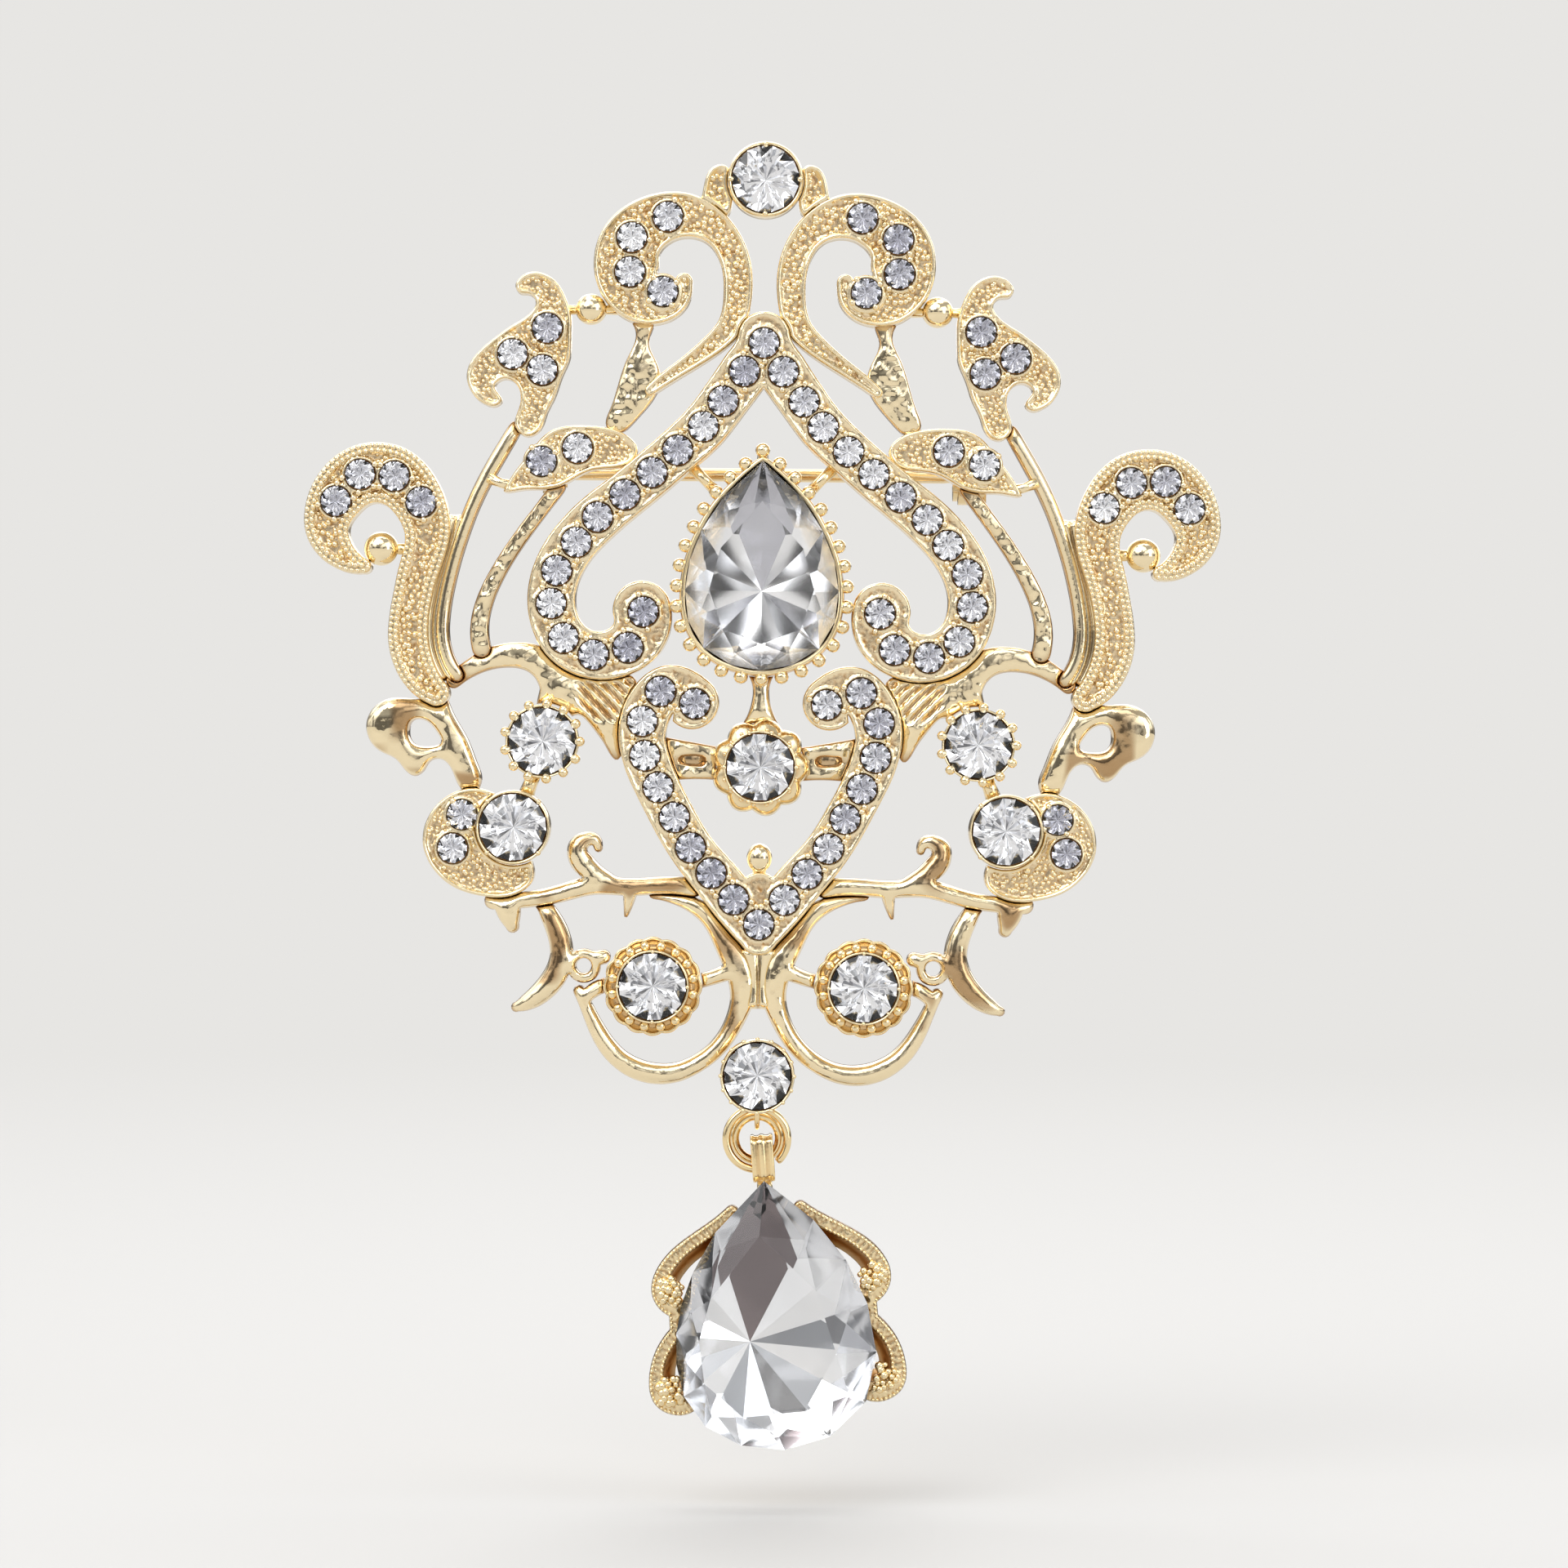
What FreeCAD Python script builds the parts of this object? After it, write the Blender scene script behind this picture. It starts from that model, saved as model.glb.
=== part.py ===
import FreeCAD, Part
import math
import os

# Openwork costume brooch with a swinging pear drop, worn upright.
#
# The shapes are drawn as the wearer's audience sees them: x to the right, v up, and w out of
# the page towards the viewer, all in mm from the middle of the pin wire.  upright() turns
# that drawing into the part's own frame: X = x, Z = v and Y = -w, so +Z is up as worn, the
# front faces -Y and the pin lies along X behind the ornament.

# ------------------------------------------------------------------ driving dimensions
MELEE_DIA = 2.0            # small pave stones
MELEE_SUNK = 0.05          # from the face of the casting down to their girdle
CHATON_DIA = 4.5           # nine round stones in cups
CHATON_SUNK = 0.15         # from the rim of a cup down to the girdle
PAVILION_SHARE = 0.8       # depth below the girdle of a round stone, by its radius
CROWN_SHARE = 0.32         # height above it
TABLE_SHARE = 0.55
CULET_SHARE = 0.2
PEAR_WIDTH = 10.2          # centre pear stone
PEAR_LENGTH = 13.95
PEAR_TIP_V = 0.6
PEAR_LEVELS = (3.8, 6.0, 8.4)   # back, girdle and table
DROP_WIDTH = 13.35         # pendant pear stone
DROP_LENGTH = 18.0
DROP_LEVELS = (3.7, 5.0, 8.6)

BACK = 3.0                 # rear face of the castings
BAND_FRONT = 5.4           # spade and heart bands
SCROLL_FRONT = 5.2         # crown and side scrolls
LEAF_FRONT = 5.0           # flame, shoulder and lobe leaves
STRAP_BACK = 3.2           # plain arcs, arms and branches
STRAP_FRONT = 4.8

SEAT_CLEARANCE = 0.03      # round a stone in its seat
CUP_WALL = 0.3
CUP_BACK = 3.2
CUP_FRONT = 6.0
SKIRT_RADIUS = 3.3         # of the lower cups
SKIRT_FRONT = 4.9
PEAR_PLATE_FRONT = 4.6     # step between the pear cup's foot and its wall
PEAR_PLATE_MARGIN = 0.85   # of the foot, outside the stone
PEAR_WALL = 0.4
PEAR_CUP_FRONT = 6.2

PIN_DIA = 0.9
PIN_TIP_X = 16.0
PIN_TAPER = 3.8            # ground point; it starts just before the catch
PIN_POINT_RADIUS = 0.08
HINGE_X = -14.3            # rivet of the pin hinge
RIVET_DIA = 0.7
RIVET_HEAD = 0.25
RIVET_HEAD_DIA = 1.24
RUNNING_FIT = 0.05         # radial, pin eye on rivet and roller in catch
EYE_DIA = 1.7
EYE_WIDTH = 1.4
EAR_THICK = 0.35
EAR_RADIUS = 0.7
EAR_GAP = 0.05             # beside the pin eye
PAD_THICK = 0.6            # soldered pads of hinge and catch, hidden behind the shoulder leaves
PAD_LENGTH = 2.3
PAD_LOW = -1.1
PAD_HIGH = 1.45

CATCH_X = 13.9
CATCH_LENGTH = 1.4
CATCH_OUTER_DIA = 3.8
ROLLER_DIA = 2.6
ROLLER_BORE = 1.2
CATCH_SLOT = 1.2
CATCH_NECK = 2.1           # width of the foot between pad and ring
FLANGE_DIA = 3.3
FLANGE_THICK = 0.3
FLANGE_GAP = 0.05          # beside the ring, at either end of the roller
LEVER_LENGTH = 2.5
LEVER_THICK = 0.45
LEVER_WIDTH = 0.8

RING_CENTRE_V = -44.75     # link rings under the base cup; the drop swings about this point
JUMP_RING_DIA = 4.65
JUMP_WIRE = 0.55
JUMP_RING_W = 3.05
JUMP_GAP = 0.35            # between the open ring's two ends
JUMP_GAP_ANGLE = -54       # degrees from +x round to the gap
INNER_RING_DIA = 3.6
INNER_WIRE = 0.6
INNER_RING_W = 2.35
HANGER_V = -42.98          # edge-on loop behind the base cup; the rings tilt about its middle
HANGER_W = 2.66
HANGER_HOLE = 1.7
HANGER_WIRE = 0.35
HANGER_FOOT = 0.42         # radius of the foot that solders it to the cup
BASE_CUP_BACK = 3.85       # higher than the other cups, clear of the rings
DROP_X = 0.3               # the bail hangs a little off the middle of the rings
DROP_REST_ANGLE = 4.5      # degrees the drop is swung towards +x at rest
DROP_TIP = 2.7             # from the ring centre down to the tip of the drop stone
DROP_BACK = 3.1
TRAY_FRONT = 4.7
TRAY_INSET = 0.5           # the stone overhangs its tray by this much
LACE_FRONT = 4.5
BAIL_WIDTH = 1.5
BAIL_THICK = 0.45
BAIL_W = 2.69              # middle of the bail's hole
BAIL_HOLE = 1.58
BAIL_BEND = 0.6            # corner radius of the strap

V = FreeCAD.Vector
OUT = V(0, 0, 1)


# ------------------------------------------------------------------ drawing helpers
def spline(points, closed=False):
    curve = Part.BSplineCurve()
    curve.interpolate(Points=points, PeriodicFlag=closed)
    return curve.toShape()


def slab(edges, back, front):
    """Flat plate between two depths with the given outline edges."""
    face = Part.Face(Part.Wire(Part.__sortEdges__(edges)))
    face.translate(V(0, 0, back))
    return face.extrude(V(0, 0, front - back))


def leaf(outline, back, front):
    """Plate with one smooth closed outline through (x, v) points."""
    return slab([spline([V(x, v, 0) for x, v in outline], True)], back, front)


def ribbon(path, back, front):
    """Plate along a centre line of (x, v, half width) points, round at both ends."""
    centre = Part.BSplineCurve()
    middle = [V(x, v, 0) for x, v, _ in path]
    centre.interpolate(Points=middle)
    tangents = [centre.tangent(centre.parameter(p))[0] for p in middle]
    widths = [half for _, _, half in path]
    left = [p + V(-t.y, t.x, 0) * h for p, t, h in zip(middle, tangents, widths)]
    right = [p - V(-t.y, t.x, 0) * h for p, t, h in zip(middle, tangents, widths)]
    start = middle[0] - tangents[0] * widths[0]
    end = middle[-1] + tangents[-1] * widths[-1]
    edges = [
        spline(left),
        Part.Arc(left[-1], end, right[-1]).toShape(),
        spline(right),
        Part.Arc(right[0], start, left[0]).toShape(),
    ]
    return slab(edges, back, front)


def disc(x, v, radius, back, front):
    return Part.makeCylinder(radius, front - back, V(x, v, back), OUT)


def lathe(profile, x, v):
    """Solid of revolution about a depth axis at (x, v) from (radius, w) points."""
    points = [V(r, 0, w) for r, w in profile]
    face = Part.Face(Part.makePolygon(points + points[:1]))
    turned = face.revolve(V(0, 0, 0), OUT, 360)
    turned.translate(V(x, v, 0))
    return turned


def mirrored(shape):
    return shape.mirror(V(0, 0, 0), V(1, 0, 0))


def both(shape):
    return [shape, mirrored(shape)]


def joined(shapes):
    whole = shapes[0]
    for shape in shapes[1:]:
        whole = whole.fuse(shape)
    return whole.removeSplitter()


def touching(a, b):
    return a.BoundBox.intersect(b.BoundBox)


def trimmed(shape, neighbours):
    """Cut a soldered piece back to the faces of the pieces it meets."""
    for other in neighbours:
        if touching(shape, other):
            shape = shape.cut(other)
    solids = sorted(shape.Solids, key=lambda s: -s.Volume)
    return solids[0]


# ------------------------------------------------------------------ stones and seats
def brilliant(diameter, x, v, girdle_w):
    """Round stone: table, crown, thin girdle and a pavilion that ends in a flat culet."""
    r = diameter / 2
    back = girdle_w - PAVILION_SHARE * r
    front = girdle_w + CROWN_SHARE * r
    profile = [
        (0, back),
        (CULET_SHARE * r, back),
        (r, girdle_w - 0.08 * r),
        (r, girdle_w),
        (TABLE_SHARE * r, front),
        (0, front),
    ]
    return lathe(profile, x, v)


def melee(places, front):
    return [brilliant(MELEE_DIA, x, v, front - MELEE_SUNK) for x, v in places]


def seated(shape, places, front):
    """Drill a blind seat for each small stone; the culet rests on its floor."""
    r = MELEE_DIA / 2
    for x, v in places:
        floor = front - MELEE_SUNK - PAVILION_SHARE * r
        shape = shape.cut(disc(x, v, r + SEAT_CLEARANCE, floor, front + 1))
    return shape


def cup(x, v, outer_radius, back=CUP_BACK):
    """Lathed collet for a round stone: narrow foot, flared wall, blind seat."""
    r = CHATON_DIA / 2
    floor = CUP_FRONT - CHATON_SUNK - PAVILION_SHARE * r
    profile = [
        (0, back),
        (0.75 * outer_radius, back),
        (outer_radius, back + 0.8),
        (outer_radius, CUP_FRONT),
        (r + SEAT_CLEARANCE, CUP_FRONT),
        (r + SEAT_CLEARANCE, floor),
        (0, floor),
    ]
    return lathe(profile, x, v)


def chaton(x, v):
    return brilliant(CHATON_DIA, x, v, CUP_FRONT - CHATON_SUNK)


# Right half of a pear stone: share of the half width, share of the length down from the tip.
PEAR_HALF = [(0.36, 0.115), (0.62, 0.225), (0.80, 0.34), (0.94, 0.47), (1.0, 0.61), (0.97, 0.75),
             (0.80, 0.875), (0.46, 0.965)]


def pear_edge(width, length, tip_x, tip_v, grow=0.0):
    """Closed pear outline with its point up, grown outwards by a margin."""
    half = width / 2 + grow
    tall = length + 2 * grow
    top = tip_v + grow
    right = [V(tip_x + half * a, top - tall * b, 0) for a, b in PEAR_HALF]
    left = [V(tip_x - half * a, top - tall * b, 0) for a, b in reversed(PEAR_HALF)]
    tip = V(tip_x, top, 0)
    bottom = V(tip_x, top - tall, 0)
    return Part.Wire([spline([tip] + right + [bottom] + left + [tip])])


def pear_slab(width, length, tip_x, tip_v, grow, back, front):
    face = Part.Face(pear_edge(width, length, tip_x, tip_v, grow))
    face.translate(V(0, 0, back))
    return face.extrude(V(0, 0, front - back))


def pear_stone(width, length, tip_x, tip_v, levels):
    """Faceted stone simplified to a crown and a pavilion that taper from the girdle."""
    back, girdle, front = levels
    edges = [(-0.30 * width / 2, back), (0, girdle), (0, girdle + 0.2), (-0.38 * width / 2, front)]
    sections = []
    for grow, w in edges:
        wire = pear_edge(width, length, tip_x, tip_v, grow)
        wire.translate(V(0, 0, w))
        sections.append(wire)
    lofts = [Part.makeLoft(sections[i:i + 2], True, True) for i in range(3)]
    return joined(lofts)


# ------------------------------------------------------------------ layout of the small stones
SPADE_STONES = [(1.3, 6.6), (2.7, 4.6), (4.0, 2.9), (5.7, 1.3), (7.4, -0.2), (9.2, -1.7), (11.0, -3.2),
                (12.4, -4.9), (13.7, -6.8), (14.05, -9.0), (13.2, -11.3), (11.2, -12.4), (8.9, -11.9),
                (7.9, -9.5)]
HEART_STONES = [(1.7, -28.65), (3.2, -26.9), (4.6, -25.2), (5.7, -23.2), (6.8, -21.2), (7.7, -19.1),
                (7.9, -16.8), (6.7, -14.8), (4.4, -15.6)]
CROWN_STONES = [(6.5, 16.9), (8.9, 15.5), (9.0, 13.2), (6.8, 11.9)]
FLAME_STONES = [(14.5, 9.4), (16.8, 7.65), (14.8, 6.6)]
SHOULDER_STONES = [(12.4, 1.4), (14.8, 0.5)]
SIDE_STONES = [(28.5, -2.3), (26.9, -0.5), (24.6, -0.6), (22.8, -2.3)]
LOBE_STONES = [(19.9, -23.15), (20.5, -25.4)]
SPADE_APEX = (0, 8.5)
HEART_APEX = (0, -30.3)

CROWN_CUP = (0, 19.4)
HEART_CUP = (0, -19.8)
CHEEK_CUP = (14.55, -18.2)
JOWL_CUP = (16.45, -23.95)
LOWER_CUP = (7.05, -34.5)
BASE_CUP = (0, -40.4)
BALL_ACCENTS = [(11.6, 10.75, 4.2, 1.05), (25.5, -5.4, 4.3, 1.15)]   # x, v, w and radius
EGG = (0, -25.9, 5.0, 0.85, 1.2)


def mirrored_places(places):
    return list(places) + [(-x, v) for x, v in places]


# ------------------------------------------------------------------ frames
def spade_frame():
    """Inverted-heart band round the centre stone; its two ends curl inwards."""
    path = [(0, 8.9, 1.55), (1.3, 6.6, 1.65), (2.7, 4.6, 1.6), (4.0, 2.9, 1.6), (5.7, 1.3, 1.55),
            (7.4, -0.2, 1.55), (9.2, -1.7, 1.55), (11.0, -3.2, 1.6), (12.6, -4.9, 1.6),
            (13.7, -6.8, 1.6), (14.05, -9.0, 1.6), (13.2, -11.3, 1.6), (11.2, -12.4, 1.6),
            (8.9, -11.8, 1.75), (8.0, -9.35, 1.95)]
    half = ribbon(path, BACK, BAND_FRONT)
    return joined(both(half) + [disc(0, 8.9, 1.75, BACK, BAND_FRONT)])


def heart_frame():
    """Upright heart band under the centre stone, with an infill in its point."""
    path = [(0, -31.0, 1.35), (1.7, -28.7, 1.6), (3.2, -26.9, 1.55), (4.6, -25.2, 1.5), (5.8, -23.2, 1.5),
            (6.85, -21.2, 1.5), (7.7, -19.1, 1.55), (7.8, -16.8, 1.6), (6.7, -14.9, 1.6),
            (4.6, -15.5, 1.8)]
    half = ribbon(path, BACK, BAND_FRONT)
    infill = disc(0, -28.1, 1.3, BACK, BAND_FRONT)
    return joined(both(half) + [infill])


def crown_scroll():
    """S-scroll from the spade's shoulder up to the crown cup and over into a stone-set curl."""
    path = [(7.6, 5.3, 0.35), (6.6, 6.1, 0.45), (5.1, 7.15, 0.55), (3.6, 8.3, 0.7), (2.3, 9.7, 0.85),
            (1.8, 11.6, 0.95), (1.95, 13.9, 1.0), (3.2, 16.1, 1.1), (5.2, 17.05, 1.45),
            (7.3, 16.7, 1.75), (9.0, 15.1, 2.1), (9.1, 12.9, 2.15), (7.8, 11.5, 1.8), (6.3, 11.6, 1.35),
            (5.4, 12.6, 0.6)]
    horn = [(4.4, 17.6), (4.1, 19.2), (3.5, 20.3), (2.8, 20.45), (2.3, 19.8), (2.2, 18.4), (2.7, 17.0)]
    return joined([ribbon(path, BACK, SCROLL_FRONT), leaf(horn, BACK, LEAF_FRONT)])


def side_scroll():
    """Outer scroll: a beaded stem that curls over into a stone-set ring."""
    path = [(21.7, -15.0, 0.9), (23.0, -13.5, 1.25), (23.6, -11.4, 1.35), (23.4, -8.9, 1.3),
            (22.9, -6.7, 1.35), (22.4, -4.5, 1.5), (23.0, -2.3, 1.75), (24.6, -0.6, 2.0),
            (26.8, -0.5, 2.0), (28.6, -2.2, 1.8), (29.0, -4.5, 1.4), (27.9, -6.0, 0.95),
            (26.6, -6.6, 0.5)]
    return ribbon(path, BACK, SCROLL_FRONT)


# ------------------------------------------------------------------ leaves and blades
def flame_leaf():
    """Curled leaf above the shoulder, with a hooked point on its outer side."""
    outline = [(16.6, 12.5), (15.4, 13.2), (14.15, 12.75), (13.3, 11.5), (12.9, 10.1), (12.9, 8.7),
               (13.0, 7.4), (13.5, 6.2), (13.9, 5.0), (14.5, 3.7), (14.9, 2.7), (15.9, 2.2),
               (16.6, 2.9), (16.35, 4.1), (16.3, 5.2), (16.8, 5.9), (17.5, 6.0), (18.0, 5.5),
               (17.7, 5.0), (17.5, 4.6), (17.9, 4.2), (18.6, 4.3), (19.3, 4.8), (19.8, 5.7),
               (19.8, 6.7), (19.2, 7.7), (18.1, 8.7), (16.7, 9.7), (15.6, 10.5), (15.3, 11.2),
               (15.7, 11.7), (16.4, 11.8)]
    return leaf(outline, BACK, LEAF_FRONT)


def shoulder_leaf():
    outline = [(17.3, -1.4), (16.6, -0.2), (15.6, 1.1), (14.7, 2.2), (13.8, 2.75), (12.3, 2.95),
               (10.4, 2.8), (9.1, 2.3), (8.4, 1.4), (8.9, 0.5), (10.3, 0.1), (11.6, -0.1),
               (12.6, -0.6), (13.5, -1.1), (14.8, -1.35), (16.4, -1.45)]
    return leaf(outline, BACK, LEAF_FRONT)


def crown_blade():
    """Flat lozenge blade that braces the crown scroll against the shoulder leaf."""
    outline = [(8.8, 9.75), (8.6, 9.0), (9.1, 7.7), (9.7, 6.0), (10.3, 4.1), (10.5, 2.9), (9.7, 2.5),
               (8.7, 3.2), (7.5, 4.6), (6.9, 6.0), (7.2, 7.3), (7.7, 8.6), (7.5, 9.4), (7.4, 9.8),
               (8.1, 9.95)]
    return leaf(outline, STRAP_BACK, STRAP_FRONT)


def lobe():
    """Cheek-shaped leaf that wraps the outer side of the jowl cup."""
    outline = [(17.8, -21.7), (19.6, -21.4), (21.3, -22.2), (22.3, -23.6), (22.5, -25.2), (21.8, -26.8),
               (20.4, -28.0), (18.4, -28.6), (16.4, -28.5), (15.1, -27.4), (15.6, -25.6),
               (17.0, -23.6)]
    return leaf(outline, BACK, LEAF_FRONT)


def hook_leaf():
    """Polished hook that rolls out under the side scroll and back to its own stem."""
    outline = [(20.9, -15.6), (20.35, -16.8), (19.6, -18.1), (19.0, -19.6), (18.7, -21.1), (19.4, -21.8),
               (20.2, -21.2), (20.7, -20.1), (21.4, -19.45), (22.1, -19.6), (22.5, -20.2),
               (23.1, -20.6), (23.8, -20.2), (24.4, -19.5), (25.4, -19.0), (26.2, -18.2),
               (26.4, -17.0), (25.85, -15.95), (24.5, -15.35), (22.8, -15.4), (21.7, -15.2)]
    eye = [(23.5, -17.4), (23.1, -16.8), (22.4, -16.9), (21.7, -17.6), (21.4, -18.3), (22.2, -18.6),
           (23.2, -18.4)]
    return leaf(outline, STRAP_BACK, STRAP_FRONT).cut(leaf(eye, BACK, LEAF_FRONT))


# ------------------------------------------------------------------ plain straps
def outer_arc():
    path = [(16.6, 2.8, 0.45), (17.3, 1.6, 0.5), (18.8, -1.1, 0.5), (20.2, -4.6, 0.5), (21.2, -8.6, 0.5),
            (21.3, -11.8, 0.5), (20.4, -13.8, 0.5)]
    return ribbon(path, STRAP_BACK, STRAP_FRONT)


def inner_arm():
    path = [(13.7, -1.1, 0.5), (15.9, -4.1, 0.5), (17.9, -7.3, 0.55), (18.75, -9.5, 0.6),
            (18.75, -12.0, 0.65)]
    return ribbon(path, STRAP_BACK, STRAP_FRONT)


def hip_bracket():
    """Bracket from the side scroll to the spade, with the striated web down to the heart."""
    arm = [(20.6, -14.2, 0.5), (19.1, -13.1, 0.65), (17.4, -12.5, 0.8), (15.4, -12.6, 0.95),
           (13.9, -14.0, 1.1)]
    web = [(15.0, -13.3), (14.9, -15.0), (14.9, -16.4), (13.4, -16.9), (12.2, -16.4), (11.4, -17.1),
           (10.5, -18.3), (9.6, -19.4), (9.1, -18.4), (8.9, -16.2), (8.4, -14.0), (10.6, -13.4),
           (12.8, -12.9)]
    return joined([ribbon(arm, STRAP_BACK, STRAP_FRONT), leaf(web, STRAP_BACK, STRAP_FRONT)])


def thorn_branch():
    """Branch from the lobe to the heart, with an upward curl and a downward thorn."""
    main = [(17.8, -28.9, 0.6), (15.5, -28.8, 0.55), (13.4, -28.4, 0.6), (11.0, -27.8, 0.65),
            (8.8, -27.9, 0.6), (6.8, -27.8, 0.6), (4.4, -27.9, 0.65)]
    curl = [(9.6, -27.6, 0.4), (11.0, -27.0, 0.65), (12.0, -26.1, 0.75), (12.1, -25.1, 0.65),
            (11.2, -24.7, 0.45), (10.8, -25.3, 0.3)]
    thorn = [(8.6, -27.9, 0.55), (8.75, -29.0, 0.35), (8.9, -29.8, 0.15)]
    foot = [(16.9, -28.9, 0.9), (16.7, -29.9, 0.75), (16.5, -30.6, 0.45)]
    pieces = [ribbon(path, STRAP_BACK, STRAP_FRONT) for path in (main, curl, thorn, foot)]
    return joined(pieces)


def crescent():
    """Sickle outside the lower cup, with the pierced eye that joins them."""
    sickle = [(14.5, -29.1, 0.5), (13.4, -31.2, 0.75), (13.2, -32.6, 0.8), (13.9, -34.3, 0.8),
              (16.2, -36.0, 0.35)]
    ring = disc(11.7, -33.2, 1.15, STRAP_BACK, STRAP_FRONT)
    eye = disc(11.7, -33.2, 0.5, BACK, LEAF_FRONT)
    link = [(10.4, -32.6, 0.5), (11.0, -32.7, 0.55), (12.9, -33.0, 0.5)]
    pieces = [ribbon(sickle, STRAP_BACK, STRAP_FRONT), ring, ribbon(link, STRAP_BACK, STRAP_FRONT)]
    return joined(pieces).cut(eye)


def bottom_loop():
    """Loop under the lower cup that runs on as one side of the lyre up to the heart's point."""
    loop = [(12.0, -34.9, 0.4), (11.1, -36.8, 0.5), (10.4, -38.1, 0.6), (9.4, -39.3, 0.65),
            (8.2, -40.05, 0.7), (6.75, -40.4, 0.7), (5.3, -40.25, 0.65), (3.9, -39.6, 0.6),
            (2.6, -38.5, 0.6), (1.6, -36.9, 0.65), (1.05, -35.0, 0.85), (1.3, -33.3, 0.95),
            (2.3, -31.4, 0.8), (3.3, -29.9, 0.65), (5.0, -28.8, 0.5), (7.0, -28.3, 0.4)]
    link = [(1.8, -33.4, 0.6), (3.0, -33.9, 0.5), (4.2, -34.2, 0.5)]
    stub = [(11.6, -35.3, 0.5), (10.8, -34.7, 0.5), (9.6, -34.4, 0.5)]
    pieces = [ribbon(path, STRAP_BACK, STRAP_FRONT) for path in (loop, link, stub)]
    return joined(pieces)


def center_post():
    """Waisted post between the centre cup and the heart cup."""
    post = [(0, -13.5, 0.95), (0, -14.7, 0.55), (0, -15.9, 0.75), (0, -17.0, 1.2)]
    return ribbon(post, STRAP_BACK, STRAP_FRONT)


def heart_arm():
    """Pierced bridge from the heart band to the heart cup."""
    arm = [(6.6, -19.3, 1.5), (4.6, -19.4, 1.25), (2.6, -19.6, 1.1)]
    slot = ribbon([(5.2, -19.35, 0.25), (4.0, -19.4, 0.3)], BACK, LEAF_FRONT)
    return ribbon(arm, STRAP_BACK, STRAP_FRONT).cut(slot)


# ------------------------------------------------------------------ cups
def pear_cup():
    """Beaded pear setting with an apex knob and two struts up to the spade."""
    size = (PEAR_WIDTH, PEAR_LENGTH, 0, PEAR_TIP_V)
    plate = pear_slab(*size, PEAR_PLATE_MARGIN, BACK, PEAR_PLATE_FRONT)
    wall = pear_slab(*size, PEAR_WALL, PEAR_PLATE_FRONT, PEAR_CUP_FRONT)
    apex = disc(0, PEAR_TIP_V + 0.75, 0.5, 4.2, 5.6)
    strut = ribbon([(3.0, -1.5, 0.4), (3.9, -0.6, 0.35), (4.9, 0.4, 0.4)], STRAP_BACK, STRAP_FRONT)
    return joined([plate, wall, apex] + both(strut)).cut(centre_stone(SEAT_CLEARANCE)).Solids[0]


def centre_stone(extra=0.0):
    """Centre pear stone, or the room it needs when given an extra margin."""
    return pear_stone(PEAR_WIDTH + 2 * extra, PEAR_LENGTH + 2 * extra, 0, PEAR_TIP_V + extra, PEAR_LEVELS)


def lower_cup():
    """Collet that stands in a wide skirt."""
    x, v = LOWER_CUP
    skirt = disc(x, v, SKIRT_RADIUS, STRAP_BACK, SKIRT_FRONT)
    return joined([skirt, cup(x, v, 2.6)]).cut(chaton_space(x, v))


def chaton_space(x, v):
    r = CHATON_DIA / 2
    floor = CUP_FRONT - CHATON_SUNK - PAVILION_SHARE * r
    return disc(x, v, r + SEAT_CLEARANCE, floor, CUP_FRONT + 1)


def jowl_cup():
    """Tall plain collet with the short peg that ties it to the cheek cup."""
    x, v = JOWL_CUP
    peg = ribbon([(15.2, -20.3, 0.6), (17.1, -22.0, 0.6)], STRAP_BACK, STRAP_FRONT)
    return joined([cup(x, v, CHATON_DIA / 2 + CUP_WALL), peg]).cut(chaton_space(x, v))


def ball(x, v, w, radius, stretch=1.0):
    """Bead, optionally longer along v."""
    bead = Part.makeSphere(radius)
    if stretch != 1.0:
        grow = FreeCAD.Matrix()
        grow.scale(V(1, stretch, 1))
        bead = bead.transformGeometry(grow)
    bead.translate(V(x, v, w))
    return bead


# ------------------------------------------------------------------ pin, hinge and catch
def pad(x):
    """Small plate soldered to the back of a shoulder leaf."""
    corner = V(x - PAD_LENGTH / 2, PAD_LOW, BACK - PAD_THICK)
    return Part.makeBox(PAD_LENGTH, PAD_HIGH - PAD_LOW, PAD_THICK, corner)


def hinge_bracket():
    """Pad with two ears that carry the rivet; the pin eye turns between them."""
    inner = EYE_WIDTH / 2 + EAR_GAP
    ears = []
    for low in (inner, -inner - EAR_THICK):
        web = Part.makeBox(2 * EAR_RADIUS, EAR_THICK, BACK - PAD_THICK, V(HINGE_X - EAR_RADIUS, low, 0))
        nose = Part.makeCylinder(EAR_RADIUS, EAR_THICK, V(HINGE_X, low, 0), V(0, 1, 0))
        ears.append(web.fuse(nose))
    bore = Part.makeCylinder(RIVET_DIA / 2, 6, V(HINGE_X, -3, 0), V(0, 1, 0))
    return joined([pad(HINGE_X)] + ears).cut(bore)


def hinge_rivet():
    """Pin with a flat head against the outside of either ear."""
    half = EYE_WIDTH / 2 + EAR_GAP + EAR_THICK
    end = half + RIVET_HEAD
    along = V(0, 1, 0)
    shank = Part.makeCylinder(RIVET_DIA / 2, 2 * end, V(HINGE_X, -end, 0), along)
    lower = Part.makeCylinder(RIVET_HEAD_DIA / 2, RIVET_HEAD, V(HINGE_X, -end, 0), along)
    upper = Part.makeCylinder(RIVET_HEAD_DIA / 2, RIVET_HEAD, V(HINGE_X, half, 0), along)
    return joined([shank, lower, upper])


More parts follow.
